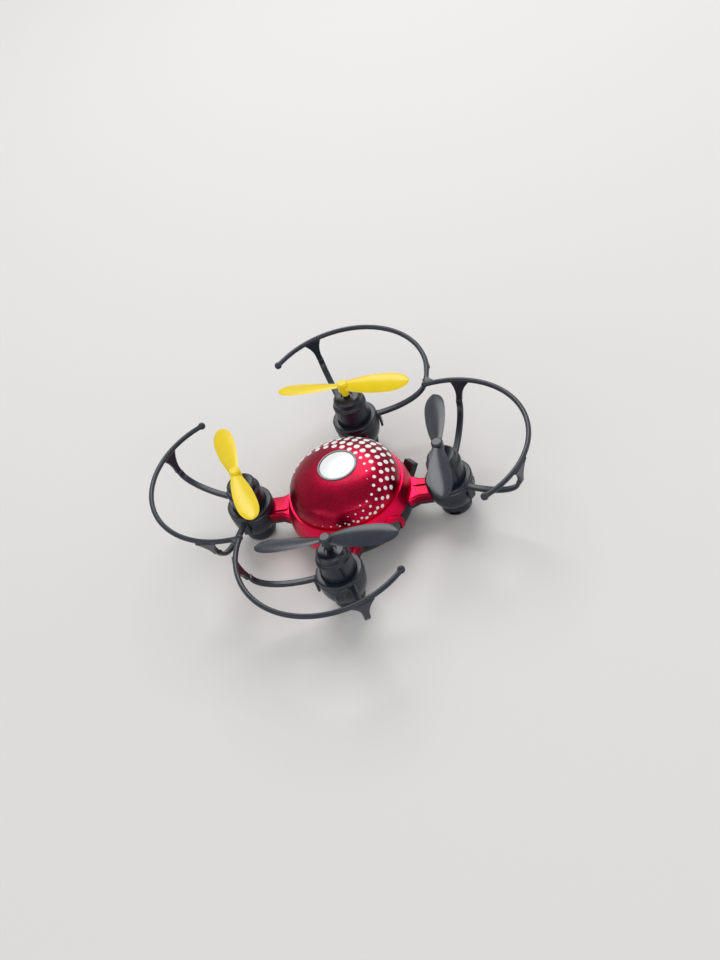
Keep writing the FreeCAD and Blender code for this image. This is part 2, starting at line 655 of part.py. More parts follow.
def pod_cap():
    bulb = revolve(cap_outline())
    spigot_r = BORE_R - SEAT_GAP
    spigot = rod(spigot_r, POD_CUP_BOTTOM_Z - 1, MOTOR_BOTTOM_Z - FIT_GAP)
    cap = fuse([bulb, spigot])
    cap = cap.cut(rod(spigot_r - CAP_WALL, CAP_FLOOR_Z, MOTOR_BOTTOM_Z + 1))
    cap = cap.cut(block(-CAP_R - 2.0, 0.0, -LEAD_SLOT_HALF, LEAD_SLOT_HALF, LEAD_SLOT[0], MOTOR_BOTTOM_Z + 1))
    light_slot = block(0.0, CAP_R + 2.0, -2.1, 2.1, CAP_FLOOR_Z + 0.7, CAP_FLOOR_Z + 2.5)
    for angle in (0, LIGHT_SLOT_TURN):
        turned_slot = light_slot.copy()
        turned_slot.rotate(ORIGIN, UP, angle)
        cap = cap.cut(turned_slot)
    return cap.removeSplitter()


def pod_led():
    """Domed light that stands on the floor of a pod cap."""
    foot_z = CAP_FLOOR_Z + SEAT_GAP
    dome_z = foot_z + 2.35
    dome = Part.makeSphere(LED_R, V(0, 0, dome_z)).common(rod(LED_R + 1, dome_z - 0.1, dome_z + LED_R + 1))
    return fuse([rod(LED_R, foot_z, dome_z), dome, tube(LED_R + 0.4, LED_R - 0.2, foot_z, foot_z + 0.55)])


MOTOR_END_T = 1.4
SHAFT_FOOT_Z = MOTOR_BOTTOM_Z + 2.6


def motor():
    top = MOTOR_TOP_Z - SEAT_GAP
    foot = MOTOR_BOTTOM_Z + MOTOR_END_T
    can = turned([(0, foot), (MOTOR_R, foot), (MOTOR_R, top - 0.4), (MOTOR_R - 0.4, top), (0, top)])
    can = can.fuse(rod(MOTOR_BOSS_R, top - 0.5, SLEEVE_TOP_Z + 0.3))
    return can.cut(rod(SHAFT_R + SHAFT_RUN, SHAFT_FOOT_Z - 0.4, SLEEVE_TOP_Z + 1)).removeSplitter()


def motor_end():
    """Plastic end bell, with a recess for its two solder tabs."""
    bell = rod(MOTOR_R - 0.15, MOTOR_BOTTOM_Z, MOTOR_BOTTOM_Z + MOTOR_END_T)
    recess_z = MOTOR_BOTTOM_Z + 0.5
    return bell.cut(block(-MOTOR_R - 1.0, -MOTOR_R * 0.6, -1.5, 1.5, MOTOR_BOTTOM_Z - 1, recess_z))


SHAFT_ABOVE_PROP = 1.2


def motor_shaft():
    return rod(SHAFT_R, SHAFT_FOOT_Z, PROP_Z + SHAFT_ABOVE_PROP)


# ---------------------------------------------------------------- motor leads
LEAD_ON_BOARD = 1.6         # length of a lead that lies on the board


def lead_path(y):
    """Centre line of one lead in the plane of an arm, from the motor to the board."""
    bend = MOTOR_BOTTOM_Z - 0.02 - LEAD_Z
    x_motor = AXIS_DISTANCE - MOTOR_R / 3.0
    short = bend * (1 - math.sqrt(0.5))
    top = V(x_motor, y, LEAD_Z + bend)
    mid = V(x_motor - short, y, LEAD_Z + short)
    level = V(x_motor - bend, y, LEAD_Z)
    end = V(BOARD[1] / 2.0 * math.sqrt(2.0) - LEAD_ON_BOARD, y, LEAD_Z)
    return Part.Wire([arc(top, mid, level), line(level, end)]), top


def motor_leads():
    leads = []
    for y in (-LEAD_PITCH / 2.0, LEAD_PITCH / 2.0):
        path, start = lead_path(y)
        section = Part.Wire(Part.makeCircle(LEAD_R, start, UP))
        leads.append(path.makePipeShell([section], True, True))
    return Part.makeCompound(leads)


# ---------------------------------------------------------------- propellers
BLADE_WIDEST = 0.62         # share of the radius where a blade is widest


def blade_chord(u):
    """Width of a blade at a share u of its radius."""
    if u < BLADE_WIDEST:
        return PROP_CHORD * (1 - 0.62 * ((BLADE_WIDEST - u) / BLADE_WIDEST) ** 2.0)
    return PROP_CHORD * math.sqrt(max(0.012, 1 - ((u - BLADE_WIDEST) / (1.0 - BLADE_WIDEST)) ** 2.6))


def blade_section(u, handed):
    """Closed cambered section of a blade, with its chord across the radius."""
    chord = blade_chord(u)
    pitch = math.radians(PROP_ROOT_PITCH - PROP_TWIST * u) * handed
    thick = BLADE_ROOT_T * (1 - u) + BLADE_TIP_T * u
    camber = chord * 0.055
    x = PROP_R * u

    def place(along_chord, up):
        return V(x, along_chord * math.cos(pitch) - up * math.sin(pitch),
                 PROP_Z + along_chord * math.sin(pitch) + up * math.cos(pitch))

    lead = place(-chord / 2.0, 0)
    trail = place(chord / 2.0, 0)
    upper = Part.Arc(lead, place(0, camber + thick / 2.0), trail).toShape()
    lower = Part.Arc(trail, place(0, camber - thick / 2.0), lead).toShape()
    return Part.Wire([upper, lower])


def propeller(handed):
    stations = (0.05, 0.12, 0.22, 0.36, 0.5, 0.64, 0.78, 0.88, 0.95, 0.985, 1.0)
    blade = Part.makeLoft([blade_section(u, handed) for u in stations], True, False)
    other = blade.copy()
    other.rotate(ORIGIN, UP, 180)
    hub_bottom = PROP_Z - HUB_HEIGHT / 2.0 - 0.1
    hub_top = hub_bottom + HUB_HEIGHT
    hub = turned([(0, hub_bottom), (HUB_R - 0.3, hub_bottom), (HUB_R, hub_bottom + 0.3),
                  (HUB_R, hub_top - 0.6), (HUB_R - 0.6, hub_top), (0, hub_top)])
    barrel = rod(BARREL_R, SLEEVE_TOP_Z + 1.0, hub_bottom + 0.5)
    whole = fuse([hub, barrel, blade, other])
    bore = rod(SHAFT_R + PRESS_GAP, SLEEVE_TOP_Z, PROP_Z + SHAFT_ABOVE_PROP + 0.1)
    return whole.cut(bore).removeSplitter()


# ---------------------------------------------------------------- guards
def polar(centre, radius, angle, z):
    a = math.radians(angle)
    return V(centre[0] + radius * math.cos(a), centre[1] + radius * math.sin(a), z)


def guard_arc(start, end):
    """Arc of round tube about the front right motor axis."""
    centre = (HALF, HALF)
    a = math.radians(start)
    point = polar(centre, GUARD_R, start, PROP_Z)
    ring = Part.makeCircle(GUARD_TUBE_R, point, V(-math.sin(a), math.cos(a), 0))
    face = Part.Face(Part.Wire(ring))
    return face.revolve(V(centre[0], centre[1], PROP_Z), UP, end - start)


def in_plane(shape, origin, x_axis, y_axis):
    """Place a shape drawn in the XY plane so that its axes lie along the given ones."""
    z_axis = x_axis.cross(y_axis)
    matrix = FreeCAD.Matrix(
        x_axis.x, y_axis.x, z_axis.x, origin.x,
        x_axis.y, y_axis.y, z_axis.y, origin.y,
        x_axis.z, y_axis.z, z_axis.z, origin.z,
        0, 0, 0, 1)
    copy = shape.copy()
    copy.Placement = FreeCAD.Placement(matrix)
    return copy


def strut(tip_angle, tip_r, tip_z, root_angle, root_r, root_z, web_start, web_end):
    """A flat bar that rises from the clip ring in a quarter ellipse to a web under the arc."""
    centre = (HALF, HALF)
    tip = polar(centre, tip_r, tip_angle, tip_z)
    root = polar(centre, root_r, root_angle, root_z)
    run = V(tip.x - root.x, tip.y - root.y, 0)
    span = run.Length
    rise = tip_z - root_z
    half_t = STRUT_T / 2.0
    run.normalize()

    outer = quarter_ellipse(span + half_t, rise + half_t)
    inner = quarter_ellipse(span - half_t, rise - half_t)
    for curve in (outer, inner):
        curve.translate(V(0, rise, 0))
    inset = root_r - (CLIP_RING_R + SLEEVE_R + FIT_GAP) / 2.0
    edges = [
        outer, inner,
        line(V(span + half_t, rise, 0), V(span - half_t, rise, 0)),
        line(V(0, half_t, 0), V(-inset, half_t, 0)),
        line(V(-inset, half_t, 0), V(-inset, -half_t, 0)),
        line(V(-inset, -half_t, 0), V(0, -half_t, 0)),
    ]
    band = Part.Face(Part.Wire(Part.__sortEdges__(edges)))
    bar = band.extrude(V(0, 0, STRUT_WIDTH))
    bar.translate(V(0, 0, -STRUT_WIDTH / 2.0))
    side_edges = [e for e in bar.Edges if abs(abs(e.CenterOfMass.z) - STRUT_WIDTH / 2.0) < 0.01]
    bar = bar.makeFillet(STRUT_EDGE_R, [e for e in side_edges if e.Length > STRUT_WIDTH * 2.0])
    bar = in_plane(bar, root, run, UP)

    web_angle = (web_start + web_end) / 2.0
    top = polar(centre, GUARD_R - 0.4, web_angle, PROP_Z)
    half_top = GUARD_R * math.radians(abs(web_end - web_start)) / 2.0
    half_low = STRUT_WIDTH / 2.0
    lean = top.sub(tip)
    height = lean.Length
    lean.normalize()
    a = math.radians(web_angle)
    tangent = V(-math.sin(a), math.cos(a), 0)
    tangent = tangent.sub(V(lean).multiply(tangent.dot(lean)))
    tangent.normalize()
    right = arc(V(half_top, height, 0), V(half_low + (half_top - half_low) * 0.25, height * 0.62, 0),
                V(half_low, 0, 0))
    left = arc(V(-half_low, 0, 0), V(-half_low - (half_top - half_low) * 0.25, height * 0.62, 0),
               V(-half_top, height, 0))
    edges = [right, left, line(V(-half_top, height, 0), V(half_top, height, 0)),
             line(V(half_low, 0, 0), V(-half_low, 0, 0))]
    web = Part.Face(Part.Wire(Part.__sortEdges__(edges))).extrude(V(0, 0, STRUT_T))
    web.translate(V(0, 0, -half_t))
    web = in_plane(web, tip, tangent, lean)
    return [bar, web]


def clip_ring():
    x, y = HALF, HALF
    z0 = POD_SEAT_Z
    z1 = z0 + CLIP_RING_HEIGHT
    bore = SLEEVE_R + FIT_GAP
    inner = CLIP_RING_R - CLIP_GROOVE
    low, high = z0 + CLIP_RING_HEIGHT * 0.41, z0 + CLIP_RING_HEIGHT * 0.59
    lip = CLIP_EDGE
    ring = turned([
        (bore, z0), (CLIP_RING_R - lip, z0), (CLIP_RING_R, z0 + lip), (CLIP_RING_R, low - lip),
        (CLIP_RING_R - lip, low), (inner, low), (inner, high), (CLIP_RING_R - lip, high),
        (CLIP_RING_R, high + lip), (CLIP_RING_R, z1 - lip * 2.0), (CLIP_RING_R - lip * 2.0, z1), (bore, z1),
    ])
    ring.translate(V(x, y, 0))
    return ring


def clip_tab(angle):
    """Small hook that hangs from the ring beside the cup."""
    thickness, width = CLIP_TAB
    inner = POD_CUP_R + SLIDE_GAP
    half = width / 2.0
    tab = block(inner, inner + thickness, -half, half, POD_SEAT_Z - CLIP_TAB_DROP, POD_SEAT_Z + 2.4)
    link = block(CLIP_RING_R - 1.0, inner + thickness, -half, half, POD_SEAT_Z + 0.3, POD_SEAT_Z + 1.6)
    tab = tab.fuse(link)
    tab.rotate(ORIGIN, UP, angle)
    tab.translate(V(HALF, HALF, 0))
    return tab


def guard_half():
    """The part of the right-hand guard that belongs to the front right motor."""
    meet = -math.degrees(math.asin(HALF / GUARD_R))
    pieces = [guard_arc(meet, GUARD_END_ANGLE), clip_ring()]
    pieces.append(Part.makeSphere(GUARD_BALL_R, polar((HALF, HALF), GUARD_R, GUARD_END_ANGLE, PROP_Z)))
    root_z = POD_SEAT_Z + 2.0
    root_r = CLIP_RING_R + 0.6
    outer_top = PROP_Z - 9.5
    inner_top = PROP_Z - 8.5
    pieces += strut(72.0, GUARD_R - 2.0, outer_top, 79.0, root_r + 1.0, root_z, 65.0, 80.0)
    pieces += strut(-35.0, GUARD_R - 2.7, inner_top, -36.0, root_r, root_z, -41.0, -25.0)
    pieces += [clip_tab(79.0), clip_tab(-36.0)]
    return pieces


def junction_web(meet):
    """Flat web that fills the V where the two arcs meet."""
    near = (HALF, HALF)
    apex = polar(near, GUARD_R, meet, PROP_Z)
    spread = polar(near, GUARD_R, meet + 12.0, PROP_Z)
    bend = polar(near, GUARD_R, meet + 6.0, PROP_Z)
    mirrored = V(spread.x, -spread.y, PROP_Z)
    bend_low = V(bend.x, -bend.y, PROP_Z)
    hollow = V(spread.x - 2.2, 0, PROP_Z)
    edges = [arc(apex, bend, spread), arc(spread, hollow, mirrored), arc(mirrored, bend_low, apex)]
    thickness = GUARD_TUBE_R * 1.7
    web = Part.Face(Part.Wire(edges)).extrude(V(0, 0, thickness))
    web.translate(V(0, 0, -thickness / 2.0))
    return [web, Part.makeSphere(GUARD_TUBE_R * 1.25, apex)]


def right_guard():
    half = guard_half()
    meet = -math.degrees(math.asin(HALF / GUARD_R))
    front = fuse(half)
    rear = front.mirror(ORIGIN, V(0, 1, 0))
    guard = fuse([front, rear] + junction_web(meet))
    for y in (HALF, -HALF):
        guard = guard.cut(rod(SLEEVE_R + FIT_GAP, POD_SEAT_Z - 1, SLEEVE_STEP_Z, HALF, y))
    return guard.removeSplitter()


# ---------------------------------------------------------------- build
os.makedirs("parts", exist_ok=True)

export("top_cover", top_cover())
export("upper_shell", upper_shell())
export("lower_shell", lower_shell())
export("front_window", front_window())
export("button_ring", button_ring())
export("power_button", power_button())
export("switch_plunger", switch_plunger())
export("tact_switch", tact_switch())
export("circuit_board", circuit_board())
export("board_chips", board_chips())
export("battery_pack", battery_pack())
export("battery_contacts", battery_contacts())
export("battery_door", battery_door())
export("body_screws", body_screws())

guard = right_guard()
export("right_guard", guard)
export("left_guard", guard.mirror(ORIGIN, V(1, 0, 0)))

pod = motor_pod()
cap = pod_cap()
led = pod_led()
can = motor()
bell = motor_end()
shaft = motor_shaft()
leads = motor_leads()
props = {1: propeller(1), -1: propeller(-1)}
for corner, (sx, sy) in CORNERS.items():
    export("motor_pod_" + corner, at_motor(pod, corner))
    export("pod_cap_" + corner, at_motor(cap, corner))
    export("pod_led_" + corner, at_motor(led, corner))
    export("motor_" + corner, at_motor(can, corner))
    export("motor_end_" + corner, at_motor(bell, corner))
    export("motor_shaft_" + corner, at_motor(shaft, corner))
    export("motor_leads_" + corner, along(leads, corner))
    prop = props[sx * sy].copy()
    prop.rotate(ORIGIN, UP, PROP_REST[corner])
    prop.translate(V(sx * HALF, sy * HALF, 0))
    export("propeller_" + corner, prop)
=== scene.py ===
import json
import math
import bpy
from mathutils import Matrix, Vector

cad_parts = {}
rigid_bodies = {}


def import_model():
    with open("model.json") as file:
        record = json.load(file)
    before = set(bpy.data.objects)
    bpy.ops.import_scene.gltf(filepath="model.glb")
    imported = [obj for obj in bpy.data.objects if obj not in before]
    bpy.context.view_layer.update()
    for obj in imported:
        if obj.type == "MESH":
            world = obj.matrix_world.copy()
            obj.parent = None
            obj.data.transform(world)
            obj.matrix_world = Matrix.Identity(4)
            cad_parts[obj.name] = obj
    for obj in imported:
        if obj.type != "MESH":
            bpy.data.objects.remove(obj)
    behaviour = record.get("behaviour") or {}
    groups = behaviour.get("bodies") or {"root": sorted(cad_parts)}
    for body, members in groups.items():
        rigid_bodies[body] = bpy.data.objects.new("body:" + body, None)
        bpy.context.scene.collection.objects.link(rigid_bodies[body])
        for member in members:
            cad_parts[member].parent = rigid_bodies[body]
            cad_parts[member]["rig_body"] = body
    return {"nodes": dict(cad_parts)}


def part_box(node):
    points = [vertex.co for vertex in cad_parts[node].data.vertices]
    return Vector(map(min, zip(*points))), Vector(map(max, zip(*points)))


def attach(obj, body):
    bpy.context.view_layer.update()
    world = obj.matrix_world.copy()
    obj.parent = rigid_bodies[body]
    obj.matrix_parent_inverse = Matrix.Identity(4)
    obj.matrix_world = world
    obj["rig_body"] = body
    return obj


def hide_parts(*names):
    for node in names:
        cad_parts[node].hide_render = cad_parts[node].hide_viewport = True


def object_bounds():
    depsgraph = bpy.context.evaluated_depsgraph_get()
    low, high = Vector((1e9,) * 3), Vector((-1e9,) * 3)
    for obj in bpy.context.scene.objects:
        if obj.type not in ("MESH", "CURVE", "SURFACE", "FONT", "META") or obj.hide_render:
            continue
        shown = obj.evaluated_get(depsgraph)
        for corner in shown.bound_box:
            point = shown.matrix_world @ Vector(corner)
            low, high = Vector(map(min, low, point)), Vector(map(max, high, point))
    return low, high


bl_info = {
    "name": "Palm drone finish",
    "version": (1, 0, 0),
    "blender": (4, 5, 0),
    "location": "3D View > Sidebar > Drone",
    "description": "Gives the palm drone its candy red body, printed dots, soft moulded guards and a studio",
    "category": "Object",
}

import bpy
from mathutils import Quaternion, Vector

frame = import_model()
cad_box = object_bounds()

# ---- facts about the part, in metres
CORNERS = ("front_right", "front_left", "rear_left", "rear_right")
DARK_PROPS = ("front_right", "front_left")
COVER_LOW, COVER_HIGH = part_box("top_cover")
COVER_RADIUS = COVER_HIGH.x
COVER_SKIRT = 0.002
DOME_FOOT = COVER_LOW.z + COVER_SKIRT
DOME_HEIGHT = 0.0128
DOME_POWER = 2.6
MIDDLE_HEIGHT = 0.5 * (cad_box[0][2] + cad_box[1][2])
SCREW_HEAD_RADIUS = 0.0015

# ---- meshes
MERGE_DISTANCE = 0.000001
SMOOTH_ANGLE = math.radians(30)
GUARD_FACE_SHARE = 0.6
POD_FACE_SHARE = 0.5
CROSS_LENGTH = 0.0018
CROSS_WIDTH = 0.0004
CROSS_DEPTH = 0.0006

# ---- paint: painted light makes it brighter below the height FLANK_HIGH, and painted shade makes it darker again on the
# arms, beyond the radius ARM_START
FLANK_LOW = 0.0180
FLANK_HIGH = 0.0270
ARM_START = 0.0250
ARM_FULL = 0.0275
ARM_PAINTED_LIGHT_SHARE = 0.05
PAINT_METALLIC = 0.95
PAINT_BUMP = 0.12
PAINT_BUMP_HEIGHT = 0.00002

# ---- printed dots. Of each row: its circle's shift in row steps, its radius and dot step as shares of the
# print's, its phase in degrees, its largest dot as a share, the angles in degrees round the dome where it
# starts, is fullest and ends, and how far out it may reach as a share of the cover's radius, with the length
# over which it turns there in millimetres
DOT_ROWS = (
    (0.85, 1.04, 1.04, -0.8, 1.0, 12, 180, 306, 0.9964, 0.8),
    (1.67, 1.04, 1.02, -1.5, 1.0, 32, 180, 306, 0.991, 1.0),
    (2.39, 1.02, 1.0, -2.9, 1.0, 46, 180, 306, 0.957, 1.5),
    (3.30, 1.0, 1.0, -5.0, 0.98, 58, 180, 306, 0.898, 2.5),
    (3.62, 0.915, 1.1, -2.7, 0.9, 95, 225, 345, 0.873, 2.0),
)
DOT_MARGIN = 0.0004             # bare strip at the foot of the dome
DOT_EDGE = 0.00003              # half the width of a dot's soft edge
SMALLEST_DOT_RADIUS = 0.00012
FADE_ANGLE = 0.75               # the stretch over which the rear end fades, in radians
SWELL_POWER = 0.65
FADE_POWER = 0.7

# ---- studio: each lamp's place, width, depth and share of the key lamp's power
LAMPS = (
    ("key_lamp", (-0.42, -0.47, 0.80), 0.70, 0.55, 1.0),
    ("front_lamp", (0.35, 0.95, 0.55), 1.0, 0.6, 0.58),
    ("right_strip", (0.90, 0.05, 0.40), 0.9, 0.35, 0.28),
    ("left_strip", (-0.80, 0.50, 0.38), 0.9, 0.30, 0.22),
)
FAR_START = 0.35
FAR_FULL = 1.1
FAR_STRENGTH = 0.9
WORLD_STRENGTH = 0.38
WORLD_SEEN_EXTRA = 0.44


# ---------------------------------------------------------------- settings

class BodyFinish(bpy.types.PropertyGroup):
    # the deep paint also carries the painted shade on the crown and arms, and the bright paint the painted
    # light on the flanks
    deep_paint_and_painted_shade: bpy.props.FloatVectorProperty(
        name="Deep paint", description="Candy paint where it is thickest",
        subtype="COLOR", size=3, min=0.0, max=1.0, default=(0.085, 0.0, 0.006))
    bright_flakes_and_painted_light: bpy.props.FloatVectorProperty(
        name="Bright paint", description="Metal flakes seen through the candy paint",
        subtype="COLOR", size=3, min=0.0, max=1.0, default=(0.84, 0.0, 0.062))
    flake_size: bpy.props.FloatProperty(
        name="Flake size", description="Width of a metal flake in the paint",
        subtype="DISTANCE", unit="LENGTH", min=0.00005, max=0.001, default=0.00022)
    shell_black: bpy.props.FloatVectorProperty(
        name="Black shell", description="Plastic of the lower shell and the battery door",
        subtype="COLOR", size=3, min=0.0, max=1.0, default=(0.010, 0.012, 0.016))
    button_white: bpy.props.FloatVectorProperty(
        name="Button", description="Plastic of the power button",
        subtype="COLOR", size=3, min=0.0, max=1.0, default=(0.90, 0.91, 0.90))


class DotPrint(bpy.types.PropertyGroup):
    ink: bpy.props.FloatVectorProperty(
        name="Ink", description="Colour of the printed dots",
        subtype="COLOR", size=3, min=0.0, max=1.0, default=(0.97, 0.96, 0.96))
    largest: bpy.props.FloatProperty(
        name="Largest dot", description="Diameter of the largest dot",
        subtype="DISTANCE", unit="LENGTH", min=0.0005, max=0.004, default=0.0025)
    row_radius: bpy.props.FloatProperty(
        name="Row radius", description="Radius of the circle that a row of dots follows",
        subtype="DISTANCE", unit="LENGTH", min=0.005, max=0.03, default=0.0217)
    row_step: bpy.props.FloatProperty(
        name="Row step", description="How far each row's circle is shifted from the last",
        subtype="DISTANCE", unit="LENGTH", min=0.001, max=0.01, default=0.00305)
    dot_step: bpy.props.FloatProperty(
        name="Dot step", description="Angle between two dots of a row",
        subtype="ANGLE", unit="ROTATION", min=0.02, max=1.0, default=math.radians(9.6))


class PlasticFinish(bpy.types.PropertyGroup):
    guard_slate: bpy.props.FloatVectorProperty(
        name="Guard and pod plastic", description="Blue-black plastic of the guards and motor pods",
        subtype="COLOR", size=3, min=0.0, max=1.0, default=(0.009, 0.013, 0.021))
    prop_dark: bpy.props.FloatVectorProperty(
        name="Front propellers", description="Plastic of the two front propellers",
        subtype="COLOR", size=3, min=0.0, max=1.0, default=(0.014, 0.018, 0.026))
    prop_yellow: bpy.props.FloatVectorProperty(
        name="Rear propellers", description="Plastic of the two rear propellers",
        subtype="COLOR", size=3, min=0.0, max=1.0, default=(0.92, 0.68, 0.004))
    led_red: bpy.props.FloatVectorProperty(
        name="Lamp lens", description="Red lens at the foot of each pod",
        subtype="COLOR", size=3, min=0.0, max=1.0, default=(0.42, 0.006, 0.010))
    soft_voxel: bpy.props.FloatProperty(
        name="Edge softness", description="Size of the grid that rounds the moulded edges",
        subtype="DISTANCE", unit="LENGTH", min=0.00012, max=0.0006, default=0.0002)
    soft_passes: bpy.props.IntProperty(
        name="Smoothing passes", description="How often the rounded edges are evened out",
        min=0, max=20, default=4)


class StudioSettings(bpy.types.PropertyGroup):
    floor_colour: bpy.props.FloatVectorProperty(
        name="Floor", description="Colour of the plain floor",
        subtype="COLOR", size=3, min=0.0, max=1.0, default=(0.85, 0.835, 0.82))
    floor_size: bpy.props.FloatProperty(
        name="Floor size", description="Width of the floor",
        subtype="DISTANCE", unit="LENGTH", min=0.5, max=20.0, default=6.0)
    camera_place: bpy.props.FloatVectorProperty(
        name="Camera place", description="Where the camera stands",
        subtype="XYZ", unit="LENGTH", size=3, default=(0.1674, 0.3688, 0.4153))
    camera_target: bpy.props.FloatVectorProperty(
        name="Camera target", description="The point that the camera looks at",
        subtype="XYZ", unit="LENGTH", size=3, default=(-0.0058, 0.0019, 0.0194))
    camera_roll: bpy.props.FloatProperty(
        name="Camera roll", description="Tilt of the camera about its own line of sight",
        subtype="ANGLE", unit="ROTATION", default=math.radians(-21.84))
    lens: bpy.props.FloatProperty(
        name="Lens", description="Focal length in millimetres",
        subtype="DISTANCE_CAMERA", min=10.0, max=200.0, default=54.59)
    key_power: bpy.props.FloatProperty(
        name="Key lamp", description="Power of the large lamp above",
        subtype="POWER", unit="POWER", min=0.0, max=100.0, default=4.9)


# ---------------------------------------------------------------- mesh helpers

def deselect_all():
    """Leaves nothing selected and Blender in object mode."""
    if bpy.context.object is not None and bpy.context.object.mode != "OBJECT":
        bpy.ops.object.mode_set(mode="OBJECT")
    bpy.ops.object.select_all(action="DESELECT")


def pick(piece):
    """Makes one piece the only selected and active one."""
    deselect_all()
    piece.select_set(True)
    bpy.context.view_layer.objects.active = piece


def merged_copy(node, name):
    """A copy of a frame node's mesh with its loose triangles joined, shaded smooth up to its edges."""
    piece = bpy.data.objects.new(name, frame["nodes"][node].data.copy())
    bpy.context.scene.collection.objects.link(piece)
    pick(piece)
    bpy.ops.object.mode_set(mode="EDIT")
    bpy.ops.mesh.select_all(action="SELECT")
    bpy.ops.mesh.remove_doubles(threshold=MERGE_DISTANCE)
    bpy.ops.mesh.select_all(action="DESELECT")
    bpy.ops.object.mode_set(mode="OBJECT")
    if piece.data.has_custom_normals:
        bpy.ops.mesh.customdata_custom_splitnormals_clear()
    bpy.ops.object.shade_smooth_by_angle(angle=SMOOTH_ANGLE)
    return piece


def soften(piece, voxel, passes, share):
    """Rounds every moulded edge: an even grid over the surface, smoothed, then thinned out."""
    pick(piece)
    grid = piece.modifiers.new("even_grid", "REMESH")
    grid.mode = "VOXEL"
    grid.voxel_size = voxel
    grid.use_smooth_shade = True
    bpy.ops.object.modifier_apply(modifier=grid.name)
    smooth = piece.modifiers.new("soft_edges", "SMOOTH")
    smooth.factor = 0.5
    smooth.iterations = passes
    bpy.ops.object.modifier_apply(modifier=smooth.name)
    decimation_and_painted_flank_light = piece.modifiers.new("fewer_faces", "DECIMATE")
    decimation_and_painted_flank_light.ratio = share
    bpy.ops.object.modifier_apply(modifier=decimation_and_painted_flank_light.name)
    bpy.ops.object.shade_smooth()


def cut_crosses(screws):
    """Cuts a cross recess into the head of each of the four body screws."""
    low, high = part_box("body_screws")
    out_x = high.x - SCREW_HEAD_RADIUS
    out_y = high.y - SCREW_HEAD_RADIUS
    bars = []
    for place in ((-out_x, -out_y), (-out_x, out_y), (out_x, -out_y), (out_x, out_y)):
        for length, width in ((CROSS_LENGTH, CROSS_WIDTH), (CROSS_WIDTH, CROSS_LENGTH)):
            bpy.ops.mesh.primitive_cube_add(size=1.0, location=(place[0], place[1], low.z))
            bar = bpy.context.object
            bar.scale = (length, width, 2.0 * CROSS_DEPTH)
            bpy.ops.object.transform_apply(location=True, rotation=False, scale=True)
            bars.append(bar)
    deselect_all()
    for bar in bars:
        bar.select_set(True)
    bpy.context.view_layer.objects.active = bars[0]
    bpy.ops.object.join()
    cutter = bpy.context.object
    pick(screws)
    cut = screws.modifiers.new("cross_recess", "BOOLEAN")
    cut.operation = "DIFFERENCE"
    cut.solver = "EXACT"
    cut.use_self = True
    cut.object = cutter
    bpy.ops.object.modifier_apply(modifier=cut.name)
    bpy.data.objects.remove(cutter, do_unlink=True)
    bpy.ops.object.shade_smooth_by_angle(angle=SMOOTH_ANGLE)


def stand_in(piece, node, material):
    """The piece takes the place of a frame node, with its body and finish."""
    piece.data.materials.clear()
    piece.data.materials.append(material)
    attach(piece, frame["nodes"][node]["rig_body"])
    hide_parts(node)


def dress(node, material):
    """Gives a frame node that keeps its own mesh a new material."""
    slots = frame["nodes"][node].data.materials
    if len(slots) == 0:
        slots.append(material)
    for index in range(len(slots)):
        slots[index] = material


# ---------------------------------------------------------------- node helpers

class Tree:
    """Adds nodes to a material or a group and joins them up."""

    def __init__(self, tree):
        self.nodes = tree.nodes
        self.links = tree.links

    def put(self, kind, **settings):
        node = self.nodes.new(kind)
        for key, value in settings.items():
            setattr(node, key, value)
        return node

    def join(self, source, target):
        if isinstance(source, bpy.types.NodeSocket):
            self.links.new(source, target)
        else:
            target.default_value = source

    def calc(self, operation, *values, clamp=False):
        node = self.put("ShaderNodeMath", operation=operation, use_clamp=clamp)
        for index, value in enumerate(values):
            self.join(value, node.inputs[index])
        return node.outputs[0]

    def step(self, value, low, high, to_low=0.0, to_high=1.0):
        node = self.put("ShaderNodeMapRange", interpolation_type="SMOOTHSTEP")
        for index, number in enumerate((value, low, high, to_low, to_high)):
            self.join(number, node.inputs[index])
        return node.outputs[0]

    def blend(self, factor, first, second):
        node = self.put("ShaderNodeMix", data_type="RGBA")
        self.join(factor, node.inputs["Factor"])
        self.join(first, node.inputs["A"])
        self.join(second, node.inputs["B"])
        return node.outputs["Result"]

    def noise(self, vector, scale, detail=2.0, rough=0.5):
        node = self.put("ShaderNodeTexNoise")
        self.join(vector, node.inputs["Vector"])
        self.join(scale, node.inputs["Scale"])
        node.inputs["Detail"].default_value = detail
        node.inputs["Roughness"].default_value = rough
        return node.outputs["Fac"]


def rgba(colour):
    return (colour[0], colour[1], colour[2], 1.0)


def group_of(name, inputs, outputs):
    """An empty shader group with named sockets, its tree helper, its input node and its output node."""
    group = bpy.data.node_groups.new(name, "ShaderNodeTree")
    for label, kind, value in inputs:
        socket = group.interface.new_socket(name=label, in_out="INPUT", socket_type=kind)
        if value is not None:
            socket.default_value = value
    for label, kind in outputs:
        group.interface.new_socket(name=label, in_out="OUTPUT", socket_type=kind)
    tree = Tree(group)
    return tree, tree.put("NodeGroupInput").outputs, tree.put("NodeGroupOutput").inputs


VALUE = "NodeSocketFloat"
COLOUR = "NodeSocketColor"
PLACE = "NodeSocketVector"


